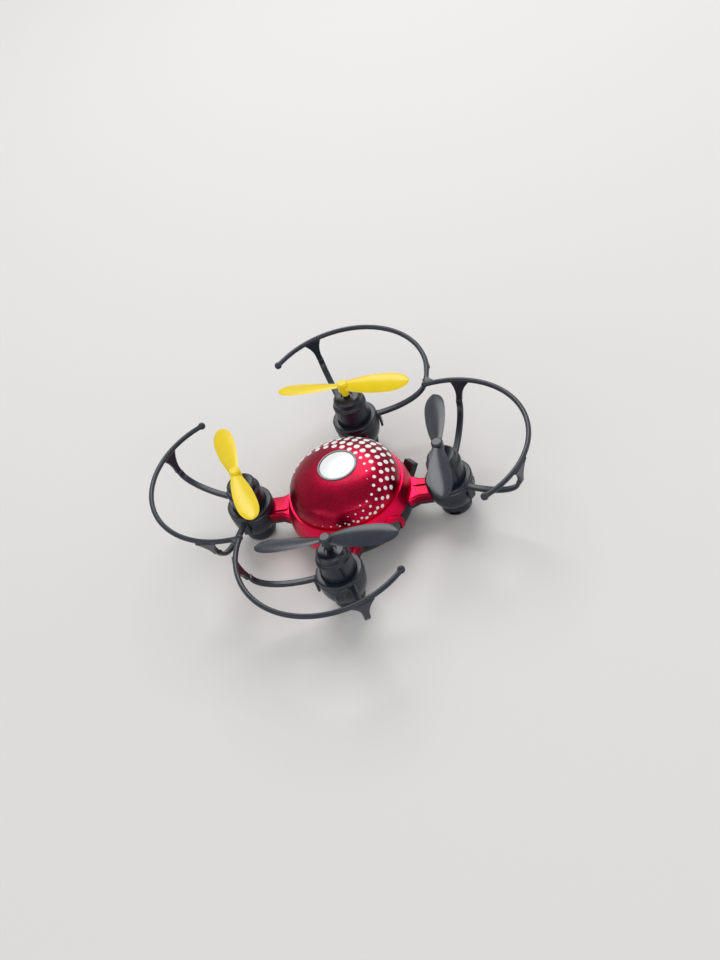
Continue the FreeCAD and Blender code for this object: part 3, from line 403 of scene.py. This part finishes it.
def moulded_grain():
    """Fine grain of moulded plastic with cloudy changes of shade and gloss."""
    if "moulded_grain" in bpy.data.node_groups:
        return bpy.data.node_groups["moulded_grain"]
    tree, given, result = group_of(
        "moulded_grain",
        [("Place", PLACE, None), ("Colour", COLOUR, (0.5, 0.5, 0.5, 1)),
         ("Pale Colour", COLOUR, (0.6, 0.6, 0.6, 1)), ("Grain Scale", VALUE, 3000.0),
         ("Roughness", VALUE, 0.4), ("Spread", VALUE, 0.1)],
        [("Colour", COLOUR), ("Roughness", VALUE), ("Height", VALUE)])
    fine = tree.noise(given["Place"], given["Grain Scale"], 3.0, 0.6)
    cloud = tree.noise(given["Place"], 180.0, 3.0, 0.55)
    flow = tree.noise(given["Place"], 45.0, 2.0, 0.5)
    cloudy = tree.step(cloud, 0.35, 0.75)
    shade = tree.calc("ADD", tree.calc("MULTIPLY", cloudy, 0.6), tree.calc("MULTIPLY", fine, 0.4), clamp=True)
    tree.join(tree.blend(shade, given["Colour"], given["Pale Colour"]), result["Colour"])
    swing = tree.calc("SUBTRACT", tree.calc("ADD", flow, tree.calc("MULTIPLY", fine, 0.5)), 0.75)
    rough = tree.calc("MULTIPLY_ADD", swing, given["Spread"], given["Roughness"], clamp=True)
    tree.join(rough, result["Roughness"])
    tree.join(fine, result["Height"])
    return bpy.data.node_groups["moulded_grain"]


def flake_paint():
    """Candy paint: small metal flakes of different brightness under a tinted coat, with painted light on the
    flanks of the body and painted shade on the crown and the arms.
    """
    if "flake_paint" in bpy.data.node_groups:
        return bpy.data.node_groups["flake_paint"]
    tree, given, result = group_of(
        "flake_paint",
        [("Place", PLACE, None), ("Deep Colour", COLOUR, (0.3, 0, 0, 1)),
         ("Bright Colour", COLOUR, (0.8, 0, 0, 1)), ("Flake Scale", VALUE, 4000.0)],
        [("Colour", COLOUR), ("Roughness", VALUE), ("Height", VALUE)])
    flakes = tree.put("ShaderNodeTexVoronoi", feature="F1")
    tree.join(given["Place"], flakes.inputs["Vector"])
    tree.join(given["Flake Scale"], flakes.inputs["Scale"])
    parts = tree.put("ShaderNodeSeparateColor")
    tree.join(flakes.outputs["Color"], parts.inputs[0])
    cloud = tree.noise(given["Place"], 70.0, 3.0, 0.5)
    sparkle = tree.calc("MULTIPLY", parts.outputs[0], 0.30)
    bright = tree.calc("ADD", sparkle, tree.calc("MULTIPLY", cloud, 0.70))
    # painted shade keeps the paint dark on the crown and on the arms, and painted light brightens it towards
    # the flanks of the body
    place = tree.put("ShaderNodeSeparateXYZ")
    tree.join(given["Place"], place.inputs[0])
    decimation_and_painted_flank_light = tree.step(place.outputs[2], FLANK_LOW, FLANK_HIGH, 1.0, 0.0)
    flat = tree.put("ShaderNodeCombineXYZ")
    tree.join(place.outputs[0], flat.inputs[0])
    tree.join(place.outputs[1], flat.inputs[1])
    outwards = tree.put("ShaderNodeVectorMath", operation="LENGTH")
    tree.join(flat.outputs[0], outwards.inputs[0])
    # painted shade on the arms: the painted flank light is taken away beyond the radius ARM_START
    painted_arm_shade = tree.step(outwards.outputs["Value"], ARM_START, ARM_FULL, 1.0, ARM_PAINTED_LIGHT_SHARE)
    decimation_and_painted_flank_light = tree.calc("MULTIPLY", decimation_and_painted_flank_light, painted_arm_shade)
    # the flakes and the painted flank light together lift the paint from the deep colour to the bright one
    flakes_and_painted_light = tree.calc("ADD", tree.calc("MULTIPLY", tree.step(bright, 0.15, 0.9), 0.45),
                     tree.calc("MULTIPLY", decimation_and_painted_flank_light, 0.60), clamp=True)
    tree.join(tree.blend(flakes_and_painted_light, given["Deep Colour"], given["Bright Colour"]), result["Colour"])
    tree.join(tree.calc("MULTIPLY_ADD", parts.outputs[1], 0.12, 0.27), result["Roughness"])
    tree.join(parts.outputs[2], result["Height"])
    return bpy.data.node_groups["flake_paint"]


def dot_row():
    """One curved row of printed dots that swells up to the angle Fullest and fades at its rear end."""
    if "dot_row" in bpy.data.node_groups:
        return bpy.data.node_groups["dot_row"]
    tree, given, result = group_of(
        "dot_row",
        [("Place", PLACE, None), ("Centre Shift", VALUE, 0.001), ("Row Radius", VALUE, 0.0217),
         ("Phase", VALUE, 0.0), ("Dot Step", VALUE, 0.16), ("Largest", VALUE, 0.0024),
         ("Front End", VALUE, 0.0), ("Fullest", VALUE, 3.1), ("Rear End", VALUE, 5.3),
         ("Outer Limit", VALUE, 0.022), ("Turn", VALUE, 0.001)],
        [("Mask", VALUE)])
    place = tree.put("ShaderNodeSeparateXYZ")
    tree.join(given["Place"], place.inputs[0])
    # angles along the row are counted from its leftmost dot, so that the count has no seam among the dots
    leftwards = tree.calc("SUBTRACT", given["Centre Shift"], place.outputs[0])
    backwards = tree.calc("MULTIPLY", place.outputs[1], -1.0)
    angle = tree.calc("ARCTAN2", backwards, leftwards)
    steps = tree.calc("DIVIDE", tree.calc("SUBTRACT", angle, given["Phase"]), given["Dot Step"])
    count = tree.calc("ROUND", steps)
    dot_angle = tree.calc("MULTIPLY_ADD", count, given["Dot Step"], given["Phase"])
    left = tree.calc("MULTIPLY", tree.calc("COSINE", dot_angle), given["Row Radius"])
    flat_x = tree.calc("SUBTRACT", given["Centre Shift"], left)
    back = tree.calc("MULTIPLY", tree.calc("SINE", dot_angle), given["Row Radius"])
    flat_y = tree.calc("MULTIPLY", back, -1.0)
    square_x = tree.calc("MULTIPLY", flat_x, flat_x)
    square_y = tree.calc("MULTIPLY", flat_y, flat_y)
    flat = tree.calc("SQRT", tree.calc("ADD", square_x, square_y))
    # near the rim a row turns and follows the dome round at its own height
    reach = tree.calc("SMOOTH_MIN", flat, given["Outer Limit"], given["Turn"])
    pull = tree.calc("DIVIDE", reach, flat)
    dot_x = tree.calc("MULTIPLY", flat_x, pull)
    dot_y = tree.calc("MULTIPLY", flat_y, pull)
    share = tree.calc("MINIMUM", tree.calc("DIVIDE", reach, COVER_RADIUS), 1.0)
    rest = tree.calc("SUBTRACT", 1.0, tree.calc("POWER", share, DOME_POWER))
    dot_z = tree.calc("MULTIPLY_ADD", tree.calc("POWER", rest, 1.0 / DOME_POWER), DOME_HEIGHT, DOME_FOOT)
    dot = tree.put("ShaderNodeCombineXYZ")
    for index, value in enumerate((dot_x, dot_y, dot_z)):
        tree.join(value, dot.inputs[index])
    apart = tree.put("ShaderNodeVectorMath", operation="DISTANCE")
    tree.join(given["Place"], apart.inputs[0])
    tree.join(dot.outputs[0], apart.inputs[1])
    around = tree.calc("WRAP", tree.calc("ARCTAN2", dot_y, dot_x), 2.0 * math.pi, 0.0)
    run = tree.calc("SUBTRACT", given["Fullest"], given["Front End"])
    front = tree.calc("DIVIDE", tree.calc("SUBTRACT", around, given["Front End"]), run, clamp=True)
    rear = tree.calc("DIVIDE", tree.calc("SUBTRACT", given["Rear End"], around), FADE_ANGLE, clamp=True)
    size = tree.calc("MULTIPLY", tree.calc("POWER", front, SWELL_POWER), tree.calc("POWER", rear, FADE_POWER))
    radius = tree.calc("MULTIPLY", tree.calc("MULTIPLY", size, given["Largest"]), 0.5)
    inside = tree.calc("SUBTRACT", radius, apart.outputs["Value"])
    shown = tree.calc("GREATER_THAN", radius, SMALLEST_DOT_RADIUS)
    tree.join(tree.calc("MULTIPLY", tree.step(inside, -DOT_EDGE, DOT_EDGE), shown), result["Mask"])
    return bpy.data.node_groups["dot_row"]


def foot_scuff():
    """Scratches and scuffs that fade out upwards from the ground, where the feet rub."""
    if "foot_scuff" in bpy.data.node_groups:
        return bpy.data.node_groups["foot_scuff"]
    tree, given, result = group_of(
        "foot_scuff", [("Place", PLACE, None), ("Height Of Wear", VALUE, 0.0012)], [("Mask", VALUE)])
    place = tree.put("ShaderNodeSeparateXYZ")
    tree.join(given["Place"], place.inputs[0])
    low = tree.step(place.outputs[2], 0.0, given["Height Of Wear"], 1.0, 0.0)
    scratch = tree.step(tree.noise(given["Place"], 900.0, 5.0, 0.7), 0.48, 0.62)
    tree.join(tree.calc("MULTIPLY", low, scratch), result["Mask"])
    return bpy.data.node_groups["foot_scuff"]


def new_material(name):
    """A material with its tree helper, its shader and the piece's own coordinates."""
    material = bpy.data.materials.new(name)
    material.use_nodes = True
    shader = material.node_tree.nodes["Principled BSDF"]
    tree = Tree(material.node_tree)
    place = tree.put("ShaderNodeTexCoord").outputs["Object"]
    return material, tree, shader, place


def use_group(tree, group, **values):
    node = tree.put("ShaderNodeGroup")
    node.node_tree = group
    for key, value in values.items():
        tree.join(value, node.inputs[key.replace("_", " ")])
    return node.outputs


def raised(tree, shader, height, strength, distance):
    """Feeds a height into the shader's normal. Distance is how high the relief stands, in metres."""
    bump = tree.put("ShaderNodeBump")
    bump.inputs["Strength"].default_value = strength
    bump.inputs["Distance"].default_value = distance
    tree.join(height, bump.inputs["Height"])
    tree.join(bump.outputs["Normal"], shader.inputs["Normal"])


def plastic(name, colour, pale, roughness, spread=0.12, grain=3200.0, bump=0.25, coat=0.0):
    """Moulded plastic. Pale is how much lighter its cloudy patches are."""
    if name in bpy.data.materials:
        return bpy.data.materials[name]
    material, tree, shader, place = new_material(name)
    light = [min(1.0, channel * pale + 0.002) for channel in colour]
    grainy = use_group(tree, moulded_grain(), Place=place, Colour=rgba(colour), Pale_Colour=rgba(light),
                       Grain_Scale=grain, Roughness=roughness, Spread=spread)
    tree.join(grainy["Colour"], shader.inputs["Base Color"])
    tree.join(grainy["Roughness"], shader.inputs["Roughness"])
    raised(tree, shader, grainy["Height"], strength=bump, distance=0.00004)
    shader.inputs["Coat Weight"].default_value = coat
    shader.inputs["Coat Roughness"].default_value = 0.08
    shader.inputs["Specular IOR Level"].default_value = 0.4
    return material


def metal(name, colour, roughness, brush=0.25):
    """Metal turned on a lathe: fine rings round the upright axis."""
    if name in bpy.data.materials:
        return bpy.data.materials[name]
    material, tree, shader, place = new_material(name)
    squeeze = tree.put("ShaderNodeMapping")
    squeeze.inputs["Scale"].default_value = (0.04, 0.04, 1.0)
    tree.join(place, squeeze.inputs["Vector"])
    rings = tree.noise(squeeze.outputs[0], 9000.0, 3.0, 0.6)
    stains = tree.noise(place, 260.0, 3.0, 0.55)
    dark = [channel * 0.72 for channel in colour]
    tree.join(tree.blend(tree.step(stains, 0.3, 0.7), rgba(dark), rgba(colour)), shader.inputs["Base Color"])
    tree.join(tree.calc("MULTIPLY_ADD", rings, brush, roughness, clamp=True), shader.inputs["Roughness"])
    shader.inputs["Metallic"].default_value = 1.0
    raised(tree, shader, rings, strength=0.2, distance=0.00002)
    return material


def candy_red(look, name="candy_red", dots=None):
    """The body's paint, with the printed dots where a dot print is given."""
    if name in bpy.data.materials:
        return bpy.data.materials[name]
    material, tree, shader, place = new_material(name)
    paint = use_group(tree, flake_paint(), Place=place, Deep_Colour=rgba(look.deep_paint_and_painted_shade),
                      Bright_Colour=rgba(look.bright_flakes_and_painted_light), Flake_Scale=1.0 / look.flake_size)
    shader.inputs["Coat Weight"].default_value = 0.10
    shader.inputs["Coat Roughness"].default_value = 0.16
    shader.inputs["Specular IOR Level"].default_value = 0.3
    if dots is None:
        shader.inputs["Metallic"].default_value = PAINT_METALLIC
        tree.join(paint["Colour"], shader.inputs["Base Color"])
        tree.join(paint["Roughness"], shader.inputs["Roughness"])
        raised(tree, shader, paint["Height"], PAINT_BUMP, PAINT_BUMP_HEIGHT)
        return material
    printed = None
    for shift, wide, step, phase, share, start, fullest, end, limit, turn in DOT_ROWS:
        row = use_group(tree, dot_row(), Place=place, Centre_Shift=shift * dots.row_step,
                        Row_Radius=wide * dots.row_radius, Phase=math.radians(phase),
                        Dot_Step=step * dots.dot_step, Largest=share * dots.largest,
                        Front_End=math.radians(start), Fullest=math.radians(fullest),
                        Rear_End=math.radians(end), Outer_Limit=limit * COVER_RADIUS, Turn=0.001 * turn)
        printed = row["Mask"] if printed is None else tree.calc("MAXIMUM", printed, row["Mask"])
    up = tree.put("ShaderNodeSeparateXYZ")
    tree.join(place, up.inputs[0])
    on_dome = tree.calc("GREATER_THAN", up.outputs[2], DOME_FOOT + DOT_MARGIN)
    printed = tree.calc("MULTIPLY", printed, on_dome)
    tree.join(tree.blend(printed, paint["Colour"], rgba(dots.ink)), shader.inputs["Base Color"])
    bare = tree.calc("MULTIPLY_ADD", printed, -PAINT_METALLIC, PAINT_METALLIC)
    tree.join(bare, shader.inputs["Metallic"])
    tree.join(paint["Roughness"], shader.inputs["Roughness"])
    proud = tree.calc("MULTIPLY_ADD", printed, 2.0, paint["Height"])
    raised(tree, shader, proud, PAINT_BUMP, PAINT_BUMP_HEIGHT)
    return material


def pod_plastic(look):
    """Guard and pod plastic whose feet are scuffed pale."""
    if "pod_plastic" in bpy.data.materials:
        return bpy.data.materials["pod_plastic"]
    material = plastic("pod_plastic", look.guard_slate, pale=1.7, roughness=0.28, spread=0.10)
    tree = Tree(material.node_tree)
    shader = material.node_tree.nodes["Principled BSDF"]
    place = tree.put("ShaderNodeTexCoord").outputs["Object"]
    worn = use_group(tree, foot_scuff(), Place=place, Height_Of_Wear=0.0011)["Mask"]
    under = shader.inputs["Base Color"].links[0].from_socket
    tree.join(tree.blend(worn, under, (0.16, 0.165, 0.17, 1.0)), shader.inputs["Base Color"])
    return material


def lamp_red(look):
    """Clear red lens with a faint glow."""
    if "lamp_red" in bpy.data.materials:
        return bpy.data.materials["lamp_red"]
    material = plastic("lamp_red", look.led_red, pale=1.6, roughness=0.14, spread=0.06,
                       grain=1500.0, bump=0.05, coat=0.8)
    shader = material.node_tree.nodes["Principled BSDF"]
    shader.inputs["Emission Color"].default_value = (1.0, 0.03, 0.02, 1.0)
    shader.inputs["Emission Strength"].default_value = 0.25
    return material


def wire_pair(rising):
    """One red and one blue wire, told apart by their side of the arm's middle line."""
    name = "wire_pair_rising" if rising else "wire_pair_falling"
    if name in bpy.data.materials:
        return bpy.data.materials[name]
    material, tree, shader, place = new_material(name)
    turn = tree.put("ShaderNodeMapping")
    turn.inputs["Rotation"].default_value = (0.0, 0.0, math.radians(-45 if rising else 45))
    tree.join(place, turn.inputs["Vector"])
    across = tree.put("ShaderNodeSeparateXYZ")
    tree.join(turn.outputs[0], across.inputs[0])
    side = tree.calc("GREATER_THAN", across.outputs[1], 0.0)
    dusty = tree.step(tree.noise(place, 700.0, 3.0, 0.6), 0.3, 0.8)
    red = tree.blend(dusty, (0.45, 0.01, 0.01, 1.0), (0.60, 0.05, 0.04, 1.0))
    blue = tree.blend(dusty, (0.01, 0.03, 0.30, 1.0), (0.05, 0.09, 0.42, 1.0))
    tree.join(tree.blend(side, red, blue), shader.inputs["Base Color"])
    tree.join(tree.calc("MULTIPLY_ADD", dusty, 0.2, 0.35), shader.inputs["Roughness"])
    return material


def wrinkled_wrap():
    """Blue shrink wrap with fine creases."""
    if "battery_wrap_film" in bpy.data.materials:
        return bpy.data.materials["battery_wrap_film"]
    material, tree, shader, place = new_material("battery_wrap_film")
    stretch = tree.put("ShaderNodeMapping")
    stretch.inputs["Scale"].default_value = (0.35, 1.0, 1.0)
    tree.join(place, stretch.inputs["Vector"])
    creases = tree.noise(stretch.outputs[0], 420.0, 4.0, 0.6)
    film = tree.blend(creases, (0.05, 0.09, 0.20, 1.0), (0.10, 0.16, 0.34, 1.0))
    tree.join(film, shader.inputs["Base Color"])
    tree.join(tree.calc("MULTIPLY_ADD", creases, 0.25, 0.2), shader.inputs["Roughness"])
    shader.inputs["Coat Weight"].default_value = 0.4
    raised(tree, shader, creases, strength=0.5, distance=0.0002)
    return material


def track_board():
    """Green solder mask over a grid of copper tracks."""
    if "board_mask" in bpy.data.materials:
        return bpy.data.materials["board_mask"]
    material, tree, shader, place = new_material("board_mask")
    tracks = tree.put("ShaderNodeTexBrick")
    tree.join(place, tracks.inputs["Vector"])
    tracks.inputs["Scale"].default_value = 420.0
    tracks.inputs["Mortar Size"].default_value = 0.06
    mask = tree.calc("MULTIPLY", tracks.outputs["Fac"], tree.step(tree.noise(place, 300.0), 0.45, 0.55))
    green = tree.blend(mask, (0.006, 0.075, 0.028, 1.0), (0.03, 0.19, 0.075, 1.0))
    tree.join(green, shader.inputs["Base Color"])
    tree.join(tree.calc("MULTIPLY_ADD", mask, -0.1, 0.35), shader.inputs["Roughness"])
    raised(tree, shader, mask, strength=0.3, distance=0.00005)
    return material


# ---------------------------------------------------------------- operators

class DRONE_OT_top_cover(bpy.types.Operator):
    """Domed cover in candy red with five curved rows of printed dots"""
    bl_idname = "drone.top_cover"
    bl_label = "Top cover"

    def execute(self, context):
        cover = merged_copy("top_cover", "domed_cover")
        paint = candy_red(context.scene.drone_body, "candy_red_dotted", context.scene.drone_dots)
        stand_in(cover, "top_cover", paint)
        return {"FINISHED"}


class DRONE_OT_body_shells(bpy.types.Operator):
    """Red upper shell with its four arms, and the black lower shell"""
    bl_idname = "drone.body_shells"
    bl_label = "Body shells"

    def execute(self, context):
        look = context.scene.drone_body
        stand_in(merged_copy("upper_shell", "red_shell"), "upper_shell", candy_red(look))
        black = plastic("shell_black", look.shell_black, pale=1.6, roughness=0.38)
        stand_in(merged_copy("lower_shell", "black_shell"), "lower_shell", black)
        return {"FINISHED"}


class DRONE_OT_front_window(bpy.types.Operator):
    """Dark glossy pane under the arch at the front"""
    bl_idname = "drone.front_window"
    bl_label = "Front window"

    def execute(self, context):
        glossy = plastic("window_gloss", (0.006, 0.006, 0.009), pale=1.5, roughness=0.12, spread=0.06,
                         grain=2500.0, bump=0.05, coat=1.0)
        stand_in(merged_copy("front_window", "dark_window"), "front_window", glossy)
        return {"FINISHED"}


class DRONE_OT_power_button(bpy.types.Operator):
    """White power button in its black ring, with the plunger and switch under it"""
    bl_idname = "drone.power_button"
    bl_label = "Power button"

    def execute(self, context):
        look = context.scene.drone_body
        white = plastic("button_white", look.button_white, pale=1.02, roughness=0.30, spread=0.08,
                        grain=2600.0, bump=0.12, coat=0.35)
        stand_in(merged_copy("power_button", "white_button"), "power_button", white)
        ring = plastic("ring_gloss", (0.006, 0.006, 0.009), pale=1.5, roughness=0.2, spread=0.08,
                       grain=2500.0, bump=0.1, coat=0.6)
        stand_in(merged_copy("button_ring", "black_ring"), "button_ring", ring)
        dress("switch_plunger", plastic("plunger_black", look.shell_black, pale=1.6, roughness=0.5))
        dress("tact_switch", metal("switch_steel", (0.62, 0.63, 0.65), roughness=0.22))
        return {"FINISHED"}


class DRONE_OT_guards(bpy.types.Operator):
    """Two soft-edged propeller guards with their clip rings and struts"""
    bl_idname = "drone.guards"
    bl_label = "Propeller guards"

    def execute(self, context):
        look = context.scene.drone_plastics
        slate = plastic("guard_plastic", look.guard_slate, pale=1.7, roughness=0.30)
        for side in ("left", "right"):
            guard = merged_copy(side + "_guard", side + "_wire_guard")
            soften(guard, look.soft_voxel, look.soft_passes, GUARD_FACE_SHARE)
            stand_in(guard, side + "_guard", slate)
        return {"FINISHED"}


class DRONE_OT_motor_pods(bpy.types.Operator):
    """Four motor pods with soft moulded edges, their caps and red lamp lenses"""
    bl_idname = "drone.motor_pods"
    bl_label = "Motor pods"

    def execute(self, context):
        look = context.scene.drone_plastics
        slate = pod_plastic(look)
        for corner in CORNERS:
            pod = merged_copy("motor_pod_" + corner, "pod_sleeve_" + corner)
            soften(pod, look.soft_voxel, look.soft_passes, POD_FACE_SHARE)
            stand_in(pod, "motor_pod_" + corner, slate)
            cap = merged_copy("pod_cap_" + corner, "pod_foot_" + corner)
            stand_in(cap, "pod_cap_" + corner, slate)
            lens = merged_copy("pod_led_" + corner, "lamp_lens_" + corner)
            stand_in(lens, "pod_led_" + corner, lamp_red(look))
        return {"FINISHED"}


class DRONE_OT_motors(bpy.types.Operator):
    """Motor cans painted near black as the shade inside the pod mouths, with their end bells, steel shafts
    and pairs of wires
    """
    bl_idname = "drone.motors"
    bl_label = "Motors"

    def execute(self, context):
        # painted shade: the steel cans are coloured near black, for the shade inside the pod mouths
        can = metal("motor_can", (0.085, 0.085, 0.09), roughness=0.40, brush=0.2)
        shaft = metal("shaft_steel", (0.72, 0.72, 0.73), roughness=0.14, brush=0.12)
        bell = plastic("end_bell", (0.80, 0.80, 0.77), pale=1.05, roughness=0.42)
        for corner in CORNERS:
            body = merged_copy("motor_" + corner, "motor_can_" + corner)
            stand_in(body, "motor_" + corner, can)
            pin = merged_copy("motor_shaft_" + corner, "shaft_" + corner)
            stand_in(pin, "motor_shaft_" + corner, shaft)
            dress("motor_end_" + corner, bell)
            dress("motor_leads_" + corner, wire_pair(corner in ("front_right", "rear_left")))
        return {"FINISHED"}


class DRONE_OT_propellers(bpy.types.Operator):
    """Two dark front propellers and two yellow rear ones"""
    bl_idname = "drone.propellers"
    bl_label = "Propellers"

    def execute(self, context):
        look = context.scene.drone_plastics
        dark = plastic("prop_slate", look.prop_dark, pale=1.9, roughness=0.26, grain=2600.0, bump=0.12)
        yellow = plastic("prop_yellow_plastic", look.prop_yellow, pale=1.08, roughness=0.30,
                         grain=2600.0, bump=0.12)
        for corner in CORNERS:
            propeller = merged_copy("propeller_" + corner, "two_blades_" + corner)
            front = corner in DARK_PROPS
            stand_in(propeller, "propeller_" + corner,
                     dark if front else yellow)
        return {"FINISHED"}


class DRONE_OT_battery(bpy.types.Operator):
    """Wrapped battery, its spring contacts and the door with the pull tab"""
    bl_idname = "drone.battery"
    bl_label = "Battery"

    def execute(self, context):
        door = plastic("door_black", context.scene.drone_body.shell_black, pale=1.6, roughness=0.36)
        stand_in(merged_copy("battery_door", "bay_door"), "battery_door", door)
        dress("battery_pack", wrinkled_wrap())
        dress("battery_contacts", metal("contact_brass", (0.78, 0.57, 0.22), roughness=0.2))
        return {"FINISHED"}


class DRONE_OT_electronics(bpy.types.Operator):
    """Green circuit board with copper tracks, its chips and the body screws"""
    bl_idname = "drone.electronics"
    bl_label = "Electronics and screws"

    def execute(self, context):
        dress("circuit_board", track_board())
        resin = plastic("chip_resin", (0.014, 0.014, 0.015), pale=1.7, roughness=0.5, grain=2800.0, bump=0.3)
        dress("board_chips", resin)
        screws = merged_copy("body_screws", "steel_screws")
        cut_crosses(screws)
        steel = metal("screw_steel", (0.50, 0.51, 0.53), roughness=0.25)
        stand_in(screws, "body_screws", steel)
        return {"FINISHED"}


class DRONE_OT_studio(bpy.types.Operator):
    """Pale floor, soft lamps, plain surroundings and the camera"""
    bl_idname = "drone.studio"
    bl_label = "Studio"

    def execute(self, context):
        look = context.scene.drone_studio
        build_floor(look)
        build_lamps(look)
        build_surroundings()
        build_camera(look)
        return {"FINISHED"}


def seen_rays(tree):
    """One for rays from the camera, from a reflection or through a clear surface, otherwise nought."""
    rays = tree.put("ShaderNodeLightPath").outputs
    mirrored = tree.calc("MAXIMUM", rays["Is Glossy Ray"], rays["Is Transmission Ray"])
    return tree.calc("MAXIMUM", rays["Is Camera Ray"], mirrored)


def build_floor(look):
    """A wide floor that shows one pale tone far away and doesn't show from underneath."""
    deselect_all()
    bpy.ops.mesh.primitive_plane_add(size=look.floor_size, location=(0, 0, 0))
    floor = bpy.context.object
    floor.name = "studio_floor"
    material, tree, shader, place = new_material("pale_floor")
    cloud = tree.noise(place, 2.2, 3.0, 0.5)
    darker = [channel * 0.985 for channel in look.floor_colour]
    tree.join(tree.blend(cloud, rgba(darker), rgba(look.floor_colour)), shader.inputs["Base Color"])
    shader.inputs["Roughness"].default_value = 0.65
    shader.inputs["Specular IOR Level"].default_value = 0.2
    # far from the object the floor shows as one pale tone, and from underneath it doesn't show
    seen = seen_rays(tree)
    distance = tree.put("ShaderNodeVectorMath", operation="LENGTH")
    tree.join(place, distance.inputs[0])
    far = tree.calc("MULTIPLY", tree.step(distance.outputs["Value"], FAR_START, FAR_FULL), seen)
    pale = tree.put("ShaderNodeEmission")
    pale.inputs["Color"].default_value = rgba(look.floor_colour)
    pale.inputs["Strength"].default_value = FAR_STRENGTH
    clear = tree.put("ShaderNodeBsdfTransparent")
    spread = tree.put("ShaderNodeMixShader")
    one_sided = tree.put("ShaderNodeMixShader")
    tree.join(far, spread.inputs[0])
    tree.join(shader.outputs[0], spread.inputs[1])
    tree.join(pale.outputs[0], spread.inputs[2])
    tree.join(tree.put("ShaderNodeNewGeometry").outputs["Backfacing"], one_sided.inputs[0])
    tree.join(spread.outputs[0], one_sided.inputs[1])
    tree.join(clear.outputs[0], one_sided.inputs[2])
    tree.join(one_sided.outputs[0], material.node_tree.nodes["Material Output"].inputs["Surface"])
    floor.data.materials.append(material)


def build_lamps(look):
    """A large lamp above and behind, a soft one in front and a strip at each side."""
    for name, place, width, depth, share in LAMPS:
        lamp = bpy.data.lights.new(name, "AREA")
        lamp.shape = "ELLIPSE"
        lamp.size = width
        lamp.size_y = depth
        lamp.energy = share * look.key_power
        stand = bpy.data.objects.new(name, lamp)
        stand.location = place
        aim = Vector((0, 0, MIDDLE_HEIGHT)) - Vector(place)
        stand.rotation_euler = aim.to_track_quat("-Z", "Y").to_euler()
        bpy.context.scene.collection.objects.link(stand)


def build_surroundings():
    """A pale world that lights softly and shows brighter to the camera and in reflections."""
    world = bpy.data.worlds.new("pale_room")
    bpy.context.scene.world = world
    world.use_nodes = True
    tree = Tree(world.node_tree)
    background = world.node_tree.nodes["Background"]
    background.inputs["Color"].default_value = (0.97, 0.98, 1.0, 1.0)
    seen = seen_rays(tree)
    strength = tree.calc("MULTIPLY_ADD", seen, WORLD_SEEN_EXTRA, WORLD_STRENGTH)
    tree.join(strength, background.inputs["Strength"])


def build_camera(look):
    """The camera, turned towards its target and then rolled."""
    camera = bpy.data.cameras.new("studio_camera")
    camera.lens = look.lens
    camera.sensor_width = 36.0
    camera.clip_start = 0.01
    stand = bpy.data.objects.new("studio_camera", camera)
    bpy.context.scene.collection.objects.link(stand)
    stand.location = look.camera_place
    aim = Vector(look.camera_target) - Vector(look.camera_place)
    turn = aim.to_track_quat("-Z", "Y") @ Quaternion((0, 0, 1), look.camera_roll)
    stand.rotation_euler = turn.to_euler()
    bpy.context.scene.camera = stand
    bpy.context.scene.view_settings.view_transform = "Standard"


class DRONE_PT_sidebar(bpy.types.Panel):
    """Lists the drone's pieces and their settings"""
    bl_label = "Drone"
    bl_idname = "DRONE_PT_sidebar"
    bl_space_type = "VIEW_3D"
    bl_region_type = "UI"
    bl_category = "Drone"

    def draw(self, context):
        for title, name, group in SETTINGS:
            box = self.layout.box()
            box.label(text=title)
            for key in group.__annotations__:
                box.prop(getattr(context.scene, name), key)
        for operator in OPERATORS:
            self.layout.operator(operator.bl_idname)


SETTINGS = (
    ("Body", "drone_body", BodyFinish),
    ("Printed dots", "drone_dots", DotPrint),
    ("Plastics", "drone_plastics", PlasticFinish),
    ("Studio", "drone_studio", StudioSettings),
)
OPERATORS = (
    DRONE_OT_studio,
    DRONE_OT_top_cover,
    DRONE_OT_body_shells,
    DRONE_OT_front_window,
    DRONE_OT_power_button,
    DRONE_OT_guards,
    DRONE_OT_motor_pods,
    DRONE_OT_motors,
    DRONE_OT_propellers,
    DRONE_OT_battery,
    DRONE_OT_electronics,
)


def register():
    for title, name, group in SETTINGS:
        bpy.utils.register_class(group)
        setattr(bpy.types.Scene, name, bpy.props.PointerProperty(type=group, name=title))
    for operator in OPERATORS:
        bpy.utils.register_class(operator)
    bpy.utils.register_class(DRONE_PT_sidebar)


def unregister():
    bpy.utils.unregister_class(DRONE_PT_sidebar)
    for operator in reversed(OPERATORS):
        bpy.utils.unregister_class(operator)
    for title, name, group in reversed(SETTINGS):
        delattr(bpy.types.Scene, name)
        bpy.utils.unregister_class(group)


def main():
    register()
    bpy.ops.drone.studio()
    bpy.ops.drone.top_cover()
    bpy.ops.drone.body_shells()
    bpy.ops.drone.front_window()
    bpy.ops.drone.power_button()
    bpy.ops.drone.guards()
    bpy.ops.drone.motor_pods()
    bpy.ops.drone.motors()
    bpy.ops.drone.propellers()
    bpy.ops.drone.battery()
    bpy.ops.drone.electronics()
    deselect_all()


if __name__ == "__main__":
    main()
